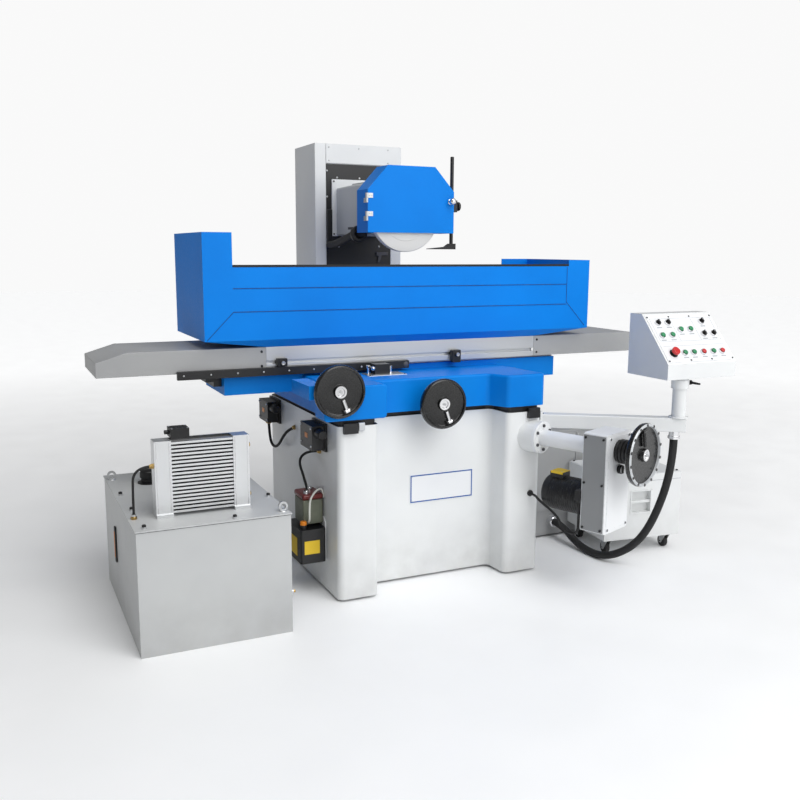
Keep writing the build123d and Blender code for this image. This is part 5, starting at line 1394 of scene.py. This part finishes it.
# ======================================================================================
# Control pendant
# ======================================================================================
@dataclass
class Pendant:
    """The pendant arm, control box and everything on its panel."""

    left: float = 953.0
    lip: Point = (0.0, -1066.0, 1037.0)
    slope: Point = (0.0, 0.66896, 0.7433)
    normal: Point = (0.0, -0.7433, 0.66896)

    def at(self, across: float, up: float, out: float = 0.0) -> Vector:
        """Give a point on the panel.

        Args:
            across: Millimetres from the box's left side.
            up: Millimetres up the panel from its low edge.
            out: Millimetres out of the panel's face.

        Returns:
            The point.
        """
        base = mm(self.left + across, self.lip[1], self.lip[2])
        return base + Vector(self.slope) * (up + 10) / 1000 + Vector(self.normal) * (3 + out) / 1000

    def build(self) -> None:
        """Dress the arm, the box and its controls."""
        out = Vector(self.normal)
        Bench.dress("pendant_arm", "frame", "light_paint", Shop.ENAMEL, 0.002, [
            (within((1030, -1040, 660), (1105, -970, 709.5)), Shop.CHROME)], segments=3)
        Bench.dress("swivel_clamp", "swivel_clamp", "black_plastic", Shop.PLASTIC, 0.001)

        def on_plate(centre: Vector, _: Vector) -> bool:
            """Say whether a face belongs to the raised panel."""
            away = (centre - self.at(0, -10, -3)).dot(out)
            return 0.0004 < away < 0.0036 and 0.955 < centre.x < 1.367

        def on_bezel(centre: Vector, _: Vector) -> bool:
            """Say whether a face belongs to a bezel."""
            return (centre - self.at(0, -10, -3)).dot(out) > 0.0036

        Bench.dress("control_box", "pendant", "light_paint", Shop.ENAMEL, 0.0012, [
            (on_plate, Shop.WHITE), (on_bezel, Shop.PLASTIC)])
        self.grid()
        places = {
            "selector_1": (59, 225), "selector_2": (118, 225), "selector_3": (326, 225),
            "selector_4": (301, 152), "selector_5": (360, 152), "green_button_1": (174, 182),
            "green_button_2": (233, 182), "green_button_3": (48, 152), "green_button_4": (107, 152),
            "green_button_5": (125, 48), "green_button_6": (179, 48), "green_button_7": (299, 48),
            "red_button_1": (239, 48), "red_button_2": (354, 48), "emergency_stop": (62, 50),
        }
        for name, (across, up) in places.items():
            self.control(name, across, up)
        spots = [self.at(a, u) * 1000 for a in (16, 145, 271, 400) for u in (8, 262)]
        Screws("panel_screws", [tuple(s) for s in spots], tuple(out), 0.0045, "pendant",
               Shop.BLACK).build()
        Screws("box_rear_screws", [(x, -785, z) for x in (970, 1161, 1352) for z in (980, 1242)],
               (0, 1, 0), 0.0045, "pendant", Shop.BLACK).build()
        door = [mm(x, -785, z) for x, z in ((963, 975), (1359, 975), (1359, 1247), (963, 1247))]
        cover = Bench.sheet("box_rear_cover", door, mm(0, 2, 0), 0.0008, hollow=0.012)
        Bench.fit(cover, "pendant", "light_paint", Shop.ENAMEL)
        ring = [(0.0335, 0.0), (0.0455, 0.0), (0.0465, 0.003), (0.0455, 0.006), (0.0335, 0.006)]
        collar = Bench.lathe("post_foot_ring", ring, mm(1080, -1012, 775), Vector((0, 0, 1)), 44)
        Bench.fit(collar, "frame", "light_paint", Shop.ENAMEL)
        nut = [(0.0195, 0.0), (0.028, 0.0), (0.029, 0.003), (0.029, 0.012), (0.028, 0.015),
               (0.0195, 0.015)]
        gland = Bench.lathe("conduit_gland", nut, mm(1067, -1004, 672), Vector((0, 0, 1)), 8, 0.0006)
        Bench.fit(gland, "frame", "bright_chrome", Shop.CHROME)
        root = Bench.block("arm_root_plate", mm(533, -684, 696), mm(537, -566, 784), 0.0012)
        Bench.fit(root, "frame", "light_paint", Shop.ENAMEL)
        Screws("arm_root_bolts", [(537, y, z) for y in (-676, -574) for z in (706, 774)], (1, 0, 0),
               0.007, "frame", Shop.DARK, head=Head.SOCKET).build()

    def grid(self) -> None:
        """Draw the thin frames round the groups of controls and their blank label strips."""
        bars = []
        normal = Vector(self.normal)

        def strip(a0: float, u0: float, a1: float, u1: float, wide: float,
                  rise: float) -> bpy.types.Object:
            """Make a thin raised strip on the panel between two corners.

            Args:
                a0: Across at the start.
                u0: Up at the start.
                a1: Across at the end.
                u1: Up at the end.
                wide: Half its width.
                rise: Height above the panel.

            Returns:
                The strip.
            """
            if abs(a1 - a0) > abs(u1 - u0):
                corners = [self.at(a0, u0 - wide), self.at(a1, u0 - wide), self.at(a1, u0 + wide),
                           self.at(a0, u0 + wide)]
            else:
                corners = [self.at(a0 - wide, u0), self.at(a0 + wide, u0), self.at(a0 + wide, u1),
                           self.at(a0 - wide, u1)]
            return Bench.sheet("panel_grid", corners, normal * rise, 0.0)

        for up in (92, 118, 252):
            bars.append(strip(24, up, 392, up, 0.5, 0.0003))
        for across in (24, 145, 271, 392):
            bars.append(strip(across, 118, across, 252, 0.5, 0.0003))
        grid = Bench.join(*bars)
        Bench.fit(grid, "pendant", "light_paint", Shop.GREY_INK)
        labels = [strip(a - 15, u - 25, a + 15, u - 25, 2.4, 0.0004) for a, u in (
            (59, 225), (118, 225), (326, 225), (301, 152), (360, 152), (174, 182), (233, 182),
            (48, 152), (107, 152), (125, 48), (179, 48), (299, 48), (239, 48), (354, 48))]
        tags = Bench.join(*labels)
        tags.name = "panel_labels"
        Bench.fit(tags, "pendant", "light_paint", Shop.GREY_INK)

    def control(self, name: str, across: float, up: float) -> None:
        """Dress one control and give it its cap, ring or lever.

        Args:
            name: The control's node and body.
            across: Place across the panel.
            up: Place up the panel.
        """
        out = Vector(self.normal)
        if name == "emergency_stop":
            Bench.dress(name, name, "red_plastic", Shop.RED, 0.001)
            collar = Bench.lathe("stop_ring", [(0.0146, 0.0), (0.0215, 0.0), (0.0215, 0.0012),
                                               (0.0146, 0.0014)],
                                 self.at(across, up, 0), out, 40)
            Bench.fit(collar, "pendant", "black_plastic", Shop.PLASTIC)
            arrows = Bench.lathe("stop_cap_ring", [(0.009, 0.0), (0.012, 0.0), (0.0115, 0.0006),
                                                   (0.0095, 0.0006)],
                                 self.at(across, up, 29), out, 32)
            Bench.fit(arrows, name, "red_plastic", Shop.RED)
            return
        ring = Bench.lathe(f"{name}_ring", [(0.0146, 0.0), (0.0160, 0.0), (0.0160, 0.0020),
                                            (0.0150, 0.0090),
                                            (0.0142, 0.0096), (0.0120, 0.0092), (0.0120, 0.0090),
                                            (0.0146, 0.0088)],
                           self.at(across, up, 0), out, 36)
        Bench.fit(ring, "pendant", "bright_chrome", Shop.CHROME)
        if name.startswith("selector"):
            Bench.dress(name, name, "black_plastic", Shop.PLASTIC, 0.0012)
            line = Bench.sheet(f"{name}_pointer", [self.at(across + a, up + u, 21.05) for a, u in (
                (-0.8, 2), (0.8, 2), (0.8, 10), (-0.8, 10))], out * 0.0003, 0.0)
            Bench.fit(line, name, "light_paint", Shop.WHITE)
            return
        finish, slot = (Shop.GREEN, "green_plastic") if "green" in name else (Shop.RED, "red_plastic")
        Bench.dress(name, name, slot, finish, 0.0006)
        cap = Bench.lathe(f"{name}_cap", [(0.0, 0.0018), (0.007, 0.0016), (0.0098, 0.0006),
                                          (0.0105, -0.001), (0.0, -0.001)],
                          self.at(across, up, 15), out, 32)
        Bench.fit(cap, name, slot, finish)


# ======================================================================================
# Hydraulic power pack
# ======================================================================================
@dataclass
class PowerPack:
    """The hydraulic tank with its oil cooler."""

    left: float = -1408.0
    right: float = -801.0
    front: float = -894.0
    back: float = 27.0
    fins: int = 19

    def build(self) -> None:
        """Dress the tank and the cooler and add their fittings."""
        # The hydraulic tank takes the darker enamel copy: painted shade.
        Bench.dress("hydraulic_tank", "frame", "light_paint", Shop.SHADED_TANK_ENAMEL, 0.0018, [
            (within((-1420, -900, 506.5), (-790, 40, 560)), Shop.ZINC),
            (within((self.right + 0.5, -860, 125), (-770, -790, 165)), Shop.ZINC),
        ])
        seam = [mm(x, y, 500.6) for x, y in ((self.left - 0.4, self.front - 0.4),
                                             (self.right + 0.4, self.front - 0.4),
                                             (self.right + 0.4, self.back + 0.4),
                                             (self.left - 0.4, self.back + 0.4))]
        gasket = Bench.sheet("lid_gasket", seam, mm(0, 0, -3.4), 0.0004)
        Bench.fit(gasket, "frame", "black_rubber", Shop.RUBBER)
        bolts = [(-1387, -350), (-1379, -605), (-1372, -865), (-1025, -874), (-815, -625)]
        Screws("lid_bolts", [(x, y, 513) for x, y in bolts], (0, 0, 1), 0.008, "frame",
               Shop.BLACK, head=Head.SOCKET).build()
        eye = [(0.0, 0.006), (0.011, 0.006), (0.0165, 0.003), (0.018, 0.0), (0.0, 0.0)]
        feet = Bench.lathe("lifting_eye_feet", eye, mm(-1385, -60, 506), Vector((0, 0, 1)), 28)
        Bench.repeat(feet, [mm(-822 + 1385, -855 + 60, 0)])
        Bench.fit(feet, "frame", "zinc_plate", Shop.ZINC)
        cap = [(0.0, 0.010), (0.0055, 0.010), (0.0068, 0.008), (0.0068, 0.0), (0.0, 0.0)]
        tip = Bench.lathe("drain_tip", cap, mm(self.right + 26, -824, 145), Vector((1, 0, 0)), 6)
        Bench.fit(tip, "frame", "zinc_plate", Shop.BRASS)
        body = [(0.0, 0.0), (0.017, 0.0), (0.0185, 0.002), (0.0185, 0.011), (0.017, 0.013),
                (0.0, 0.013)]
        nut = Bench.lathe("drain_nut", body, mm(self.right, -824, 145), Vector((1, 0, 0)), 6)
        Bench.fit(nut, "frame", "light_paint", Shop.MILK)
        filler = Bench.lathe("tank_filler", [(0.0, 0.062), (0.020, 0.062), (0.034, 0.058),
                                             (0.038, 0.050), (0.038, 0.026),
                                             (0.033, 0.022), (0.033, 0.006), (0.048, 0.005),
                                             (0.048, 0.0), (0.0, 0.0)],
                             mm(-1240, -180, 506), Vector((0, 0, 1)), 40)
        Bench.fit(filler, "frame", "black_plastic", Shop.PLASTIC)
        gauge = Bench.block("level_gauge_frame", mm(self.left - 8, -330, 200),
                            mm(self.left, -300, 360), 0.004)
        glass = Bench.block("level_gauge_glass", mm(self.left - 9.5, -322, 222),
                            mm(self.left - 8, -308, 338), 0.0006)
        Bench.fit(gauge, "frame", "black_plastic", Shop.PLASTIC)
        Bench.fit(glass, "frame", "bright_chrome", Shop.AMBER)
        pump = Bench.lathe("pump_motor_flange", [(0.0, 0.0), (0.092, 0.0), (0.092, 0.012),
                                                 (0.078, 0.016), (0.074, 0.030),
                                                 (0.074, 0.120), (0.070, 0.130), (0.040, 0.134),
                                                 (0.0, 0.134)],
                           mm(-950, -180, 506), Vector((0, 0, 1)), 48)
        Bench.fit(pump, "frame", "black_paint", Shop.BLACK)
        ribs = Bench.lathe("pump_motor_fins", [(0.0735, 0.036), (0.080, 0.037), (0.080, 0.041),
                                               (0.0735, 0.042)],
                           mm(-950, -180, 506), Vector((0, 0, 1)), 48)
        Bench.repeat(ribs, [mm(0, 0, 10 * n) for n in range(1, 9)])
        Bench.fit(ribs, "frame", "black_paint", Shop.BLACK)
        self.cooler()

    def cooler(self) -> None:
        """Dress the cooler, its fan and fittings."""
        def fin(centre: Vector, _: Vector) -> bool:
            """Say whether a face belongs to the finned core."""
            return -1.2402 < centre.x < -0.9948 and centre.y < -0.6955 and 0.5195 < centre.z < 0.8125

        Bench.dress("oil_cooler", "frame", "bare_aluminium", Shop.ALUMINIUM, 0.0008, [
            (fin, Shop.ALUMINIUM),
            (within((-1310, -697.5, 506), (-925, -400, 812.5)), Shop.BLACK),
            (within((-1234, -720, 811.8), (-1156, -630, 850)), Shop.PLASTIC),
            (within((-1330, -740, 700), (-1306.2, -715, 722)), Shop.BRASS),
        ])
        Bench.dress("cooler_fan", "cooler_fan", "black_plastic", Shop.PLASTIC, 0.0008)
        welds = []
        for x in (-1306 + 8, -1240 - 8, -995 + 8, -929 - 8):
            welds.append(Bench.pipe("cooler_welds", [mm(x, -757.6, z) for z in (524, 600, 700, 808)],
                                    0.0016, 3))
        seams = Bench.join(*welds)
        Bench.fit(seams, "frame", "bare_aluminium", Shop.CHROME)
        back = Bench.sheet("cooler_core_shade", [mm(x, -712, z) for x, z in (
            (-1240, 521), (-995, 521), (-995, 811), (-1240, 811))], mm(0, 3, 0), 0.0)
        Bench.fit(back, "frame", "black_paint", Shop.BLACK)
        pitch = (812 - 520) / self.fins
        wave = [mm(-1240 + 4.085 * n, -716 if n % 2 else -748, 520 + pitch * 0.6) for n in range(61)]
        ridge = wave + [p + mm(0.6, 0, 0) for p in reversed(wave)]
        # The turbulators take the dark metal finish, darker than the aluminium core: painted shade deep
        # inside the core.
        strip = Bench.sheet("cooler_turbulators", ridge, mm(0, 0, pitch * 0.35), 0.0)
        Bench.repeat(strip, [mm(0, 0, pitch * n) for n in range(1, self.fins - 1)])
        Bench.fit(strip, "frame", "bare_aluminium", Shop.DARK)
        plug = [(0.0, 0.010), (0.009, 0.010), (0.0105, 0.008), (0.0105, 0.004), (0.015, 0.004),
                (0.015, 0.0), (0.0, 0.0)]
        plugs = Bench.lathe("cooler_plugs", plug, mm(-929, -727, 560), Vector((1, 0, 0)), 6)
        Bench.repeat(plugs, [mm(0, 0, 205)])
        Bench.fit(plugs, "frame", "zinc_plate", Shop.BRASS)
        elbow = Bench.lathe("hose_fitting", [(0.0055, 0.0), (0.0115, 0.0), (0.0115, 0.008),
                                             (0.0085, 0.010), (0.0085, 0.016), (0.0055, 0.016)],
                            mm(-1306, -727, 711), Vector((-1, 0, 0)), 6)
        Bench.fit(elbow, "frame", "zinc_plate", Shop.BRASS)
        foot = Bench.lathe("hose_foot", [(0.0055, 0.0), (0.0125, 0.0), (0.0125, 0.010),
                                         (0.009, 0.013), (0.009, 0.020), (0.0055, 0.020)],
                           mm(-1388, -727, 506), Vector((0, 0, 1)), 6)
        Bench.fit(foot, "frame", "zinc_plate", Shop.BRASS)
        Screws("terminal_lid_screws", [(x, y, 849) for x in (-1226, -1164) for y in (-706, -643)],
               (0, 0, 1), 0.0035, "frame", Shop.ZINC, "zinc_plate", Head.PAN).build()
        gland = Bench.rod("terminal_gland", mm(-1232, -672, 831), mm(-1250, -672, 831), 0.009, 0.0015,
                          8)
        Bench.fit(gland, "frame", "black_plastic", Shop.PLASTIC)


# ======================================================================================
# Coolant tank and electrical cabinet
# ======================================================================================
@dataclass
class CoolantTank:
    """The coolant tank on casters."""

    corner: Pair = (932.0, -690.0)
    turn: float = 6.5
    high: float = 420.0

    def at(self, across: float, inward: float, height: float) -> Vector:
        """Give a point in the tank's own directions.

        Args:
            across: Millimetres from the left front corner along the front.
            inward: Millimetres back from the front.
            height: Millimetres above the floor.

        Returns:
            The point.
        """
        t = math.radians(self.turn)
        return mm(self.corner[0] + math.cos(t) * across + math.sin(t) * inward,
                  self.corner[1] - math.sin(t) * across + math.cos(t) * inward, height)

    def build(self) -> None:
        """Dress the tank and its casters and add the recess frame and lid."""
        out = (self.at(0, -1000, 0) - self.at(0, 0, 0)).normalized()
        Bench.dress("coolant_tank", "frame", "light_paint", Shop.ENAMEL, 0.0015)
        for side in ("left", "right"):
            Bench.dress(f"caster_fork_{side}", f"caster_fork_{side}", "zinc_plate", Shop.ZINC, 0.0006)
            Bench.dress(f"caster_wheel_{side}", f"caster_wheel_{side}", "caster_rubber", Shop.RUBBER,
                        0.002)
        Bench.dress("rear_axle", "rear_axle", "caster_rubber", Shop.RUBBER, 0.002)
        rim = [self.at(a, 0, h) for a, h in ((145, 213), (272, 213), (272, 340), (145, 340))]
        hole = [self.at(a, 0, h) for a, h in ((153, 221), (264, 221), (264, 332), (153, 332))]
        bars = []
        for n in range(4):
            m = (n + 1) % 4
            bars.append(Bench.sheet("recess_frame", [rim[n], rim[m], hole[m], hole[n]], out * 0.003,
                                    0.0006))
        framed = Bench.join(*bars)
        Bench.fit(framed, "frame", "light_paint", Shop.ENAMEL)
        lid = [self.at(a, i, self.high) for a, i in ((6, 6), (441, 6), (441, 374), (6, 374))]
        cover = Bench.sheet("coolant_lid", lid, mm(0, 0, 3), 0.001)
        Bench.fit(cover, "frame", "light_paint", Shop.ENAMEL)
        spots = [self.at(a, i, 423) * 1000 for a in (18, 223, 429) for i in (18, 362)]
        Screws("coolant_lid_screws", [tuple(s) for s in spots], (0, 0, 1), 0.0055, "frame",
               Shop.BLACK, head=Head.SOCKET).build()
        pump = Bench.lathe("coolant_pump", [(0.0, 0.150), (0.040, 0.150), (0.055, 0.142),
                                            (0.058, 0.130), (0.058, 0.052),
                                            (0.062, 0.048), (0.062, 0.012), (0.070, 0.010),
                                            (0.070, 0.0), (0.0, 0.0)],
                           self.at(330, 250, 423), Vector((0, 0, 1)), 44)
        Bench.fit(pump, "frame", "black_paint", Shop.BLACK)
        seam = Bench.sheet("tank_front_seam", [self.at(a, 0, h) for a,
                                               h in ((4, 384), (443, 384), (443, 386), (4, 386))],
                           out * 0.0006, 0.0)
        Bench.fit(seam, "frame", "light_paint", Shop.GREY_INK)


@dataclass
class Cabinet:
    """The electrical cabinet behind the coolant tank."""

    right: float = 1180.0
    front: float = -290.0
    back: float = 200.0

    def build(self) -> None:
        """Dress the cabinet and add covers, vents and screws."""
        # The light-painted cabinet takes the mid grey enamel copy: painted shade, as it stands in
        # shade.
        Bench.dress("cabinet", "frame", "light_paint", Shop.SHADED_ENAMEL, 0.002)
        Screws("cabinet_screws", [(x, self.front - 6, z) for x in (648, 1012, 1040,
                                                                   1152) for z in (164, 560)],
               (0, -1, 0), 0.0055, "frame", Shop.ZINC, "zinc_plate").build()
        vent = Bench.sheet("cabinet_louvres", [mm(self.right, y, z) for y, z in (
            (-120, 380), (40, 380), (40, 387), (-120, 387))], mm(5, 0, 3), 0.0008)
        Bench.repeat(vent, [mm(0, 0, 18 * n) for n in range(1, 8)])
        Bench.fit(vent, "frame", "light_paint", Shop.ENAMEL)
        rear = [mm(x, self.back, z) for x, z in ((650, 60), (1150, 60), (1150, 560), (650, 560))]
        panel = Bench.sheet("cabinet_rear_panel", rear, mm(0, 2.5, 0), 0.0008, hollow=0.014)
        Bench.fit(panel, "frame", "light_paint", Shop.ENAMEL)
        Screws("cabinet_rear_screws", [(x, self.back + 2.5, z) for x in (660, 1140) for z in (70, 310,
                550)],
               (0, 1, 0), 0.0055, "frame", Shop.ZINC, "zinc_plate").build()
        ring = [(0.0195, 0.0), (0.031, 0.0), (0.032, 0.003), (0.032, 0.014), (0.027, 0.018),
                (0.0195, 0.018)]
        gland = Bench.lathe("cabinet_gland", ring, mm(880, -318, 93), Vector((0, -1, 0)), 8, 0.0005)
        Bench.fit(gland, "frame", "bright_chrome", Shop.CHROME)


# ======================================================================================
# Oiling gear on the left side of the base
# ======================================================================================
@dataclass
class OilingGear:
    """The lubricator with its pump and the two hydraulic valves."""

    face: float = -521.0

    def build(self) -> None:
        """Dress the gear and add caps, labels and pipes."""
        Bench.dress("oiling_gear", "frame", "black_plastic", Shop.BLACK, 0.002, [
            (within((-640, -510, 322), (-525, -405, 434.5)), Shop.OLIVE),
            (within((-640, -510, 434.6), (-525, -405, 456)), Shop.DARK_RED),
        ])
        low = [(-566, -649.4), (-404, -649.4)]
        label = Bench.sheet("reservoir_label", [mm(x, y, z) for y, x, z in (
            (-508, low[0][1], 178), (-408, low[1][1], 178), (-408, low[1][1], 262),
            (-508, low[0][1], 262))],
            mm(-0.8, 0, 0), 0.0003)
        Bench.fit(label, "frame", "black_plastic", Shop.YELLOW)
        front = Bench.sheet("reservoir_front_label", [mm(x, -560, z) for x, z in (
            (-632, 196), (-560, 196), (-560, 258), (-632, 258))], mm(0, -0.8, 0), 0.0003)
        Bench.fit(front, "frame", "black_plastic", Shop.YELLOW)
        cap = [(0.0, 0.016), (0.012, 0.016), (0.015, 0.013), (0.015, 0.0), (0.0, 0.0)]
        filler = Bench.lathe("lubricator_filler", cap, mm(-625, -526, 327), Vector((0, 0, 1)), 24)
        Bench.fit(filler, "frame", "black_plastic", Shop.AMBER)
        box = Bench.block("lubricator_pump_box", mm(-622, -520, 322), mm(-528, -396, 436), 0.006)
        Bench.fit(box, "frame", "black_plastic", Shop.OLIVE)
        lid = Bench.block("lubricator_pump_lid", mm(-625, -523, 436), mm(-526, -393, 462), 0.009)
        Bench.fit(lid, "frame", "red_plastic", Shop.DARK_RED)
        tops = Bench.lathe("lubricator_caps", [(0.0, 0.014), (0.010, 0.014), (0.0125, 0.010),
                                               (0.0125, 0.0), (0.0, 0.0)],
                           mm(-600, -496, 462), Vector((0, 0, 1)), 24)
        Bench.repeat(tops, [mm(36, 60, 0)])
        Bench.fit(tops, "frame", "bright_chrome", Shop.CHROME)
        tube = Bench.pipe("lubricator_white_tube", [mm(*p) for p in (
            (-600, -521, 336), (-602, -548, 342), (-606, -556, 400), (-600, -548, 446),
            (-570, -532, 478),
            (-540, -520, 486), (-526, -512, 470), (-522, -508, 440))], 0.0045, 5)
        Bench.fit(tube, "frame", "light_paint", Shop.MILK)
        hose = Bench.pipe("lubricator_line", [mm(*p) for p in (
            (-575, -440, 462), (-578, -400, 520), (-575, -330, 560), (-565, -330, 600),
            (-548, -420, 640), (-524, -470, 645))],
            0.006, 5)
        Bench.fit(hose, "frame", "black_rubber", Shop.RUBBER)
        loop = Bench.pipe("valve_line", [mm(*p) for p in (
            (-563, 190, 664), (-562, 185, 600), (-560, 150, 550), (-558, 60, 560), (-556, -40, 640),
            (-545, -90, 676),
            (-524, -110, 690))], 0.007, 5)
        Bench.fit(loop, "frame", "black_rubber", Shop.RUBBER)
        union = Bench.lathe("line_unions", [(0.0, 0.014), (0.0085, 0.014), (0.010, 0.012),
                                            (0.010, 0.005),
                                            (0.013, 0.004), (0.013, 0.0), (0.0, 0.0)],
                            mm(self.face, -110, 690), Vector((-1, 0, 0)), 6)
        Bench.repeat(union, [mm(0, -360, -45)])
        Bench.fit(union, "frame", "zinc_plate", Shop.BRASS)
        bracket = Bench.sheet("lubricator_bracket", [mm(self.face, y, z) for y, z in (
            (-540, 150), (-376, 150), (-376, 330), (-400, 350), (-516, 350), (-540, 330))],
            mm(-6, 0, 0), 0.0015)
        Bench.fit(bracket, "frame", "light_paint", Shop.ENAMEL)
        self.valves()

    def valves(self) -> None:
        """Add tags, solenoid ends and screws to the valves."""
        for name, front, back, top in (("rear_valve", 115, 265, 783), ("front_valve", -558, -400, 780)):
            middle = (front + back) / 2
            tag = Bench.sheet(f"{name}_tag", [mm(-591, y, z) for y, z in (
                (middle - 18, top - 62), (middle + 18, top - 62), (middle + 18, top - 40),
                (middle - 18, top - 40))],
                mm(-1, 0, 0), 0.0004)
            Bench.fit(tag, "frame", "black_plastic", Shop.AMBER)
            cap = [(0.0, 0.016), (0.018, 0.016), (0.021, 0.012), (0.021, 0.0), (0.0, 0.0)]
            end = Bench.lathe(f"{name}_coil_end", cap, mm(-563, front - 46, top - 30),
                              Vector((0, -1, 0)), 28)
            Bench.fit(end, "frame", "black_plastic", Shop.PLASTIC)
            Screws(f"{name}_screws", [(-591, y, z) for y in (front + 12,
                                                             back - 12) for z in (top - 12, top - 92)],
                   (-1, 0, 0), 0.005, "frame", Shop.ZINC, "zinc_plate", Head.SOCKET).build()
            nut = Bench.lathe(f"{name}_nut", [(0.0, 0.010), (0.008, 0.010), (0.010, 0.006),
                                              (0.016, 0.006), (0.016, 0.0), (0.0, 0.0)],
                              mm(-563, middle, top - 115), Vector((0, 0, -1)), 6)
            Bench.fit(nut, "frame", "zinc_plate", Shop.BRASS)


PARTS = [Base, Column, WheelHead, Saddle, Table, SplashGuard, Handwheels, ElevatingDrive, Pendant,
         PowerPack, CoolantTank, Cabinet, OilingGear]


# ======================================================================================
# Making
# ======================================================================================
def main() -> None:
    """Build the machine from its sub-assemblies."""
    logging.basicConfig(level=logging.INFO, format="%(message)s")
    Studio().build()
    for cord in CORDS:
        cord.build()
    for part in PARTS:
        part().build()


if __name__ == "__main__":
    main()
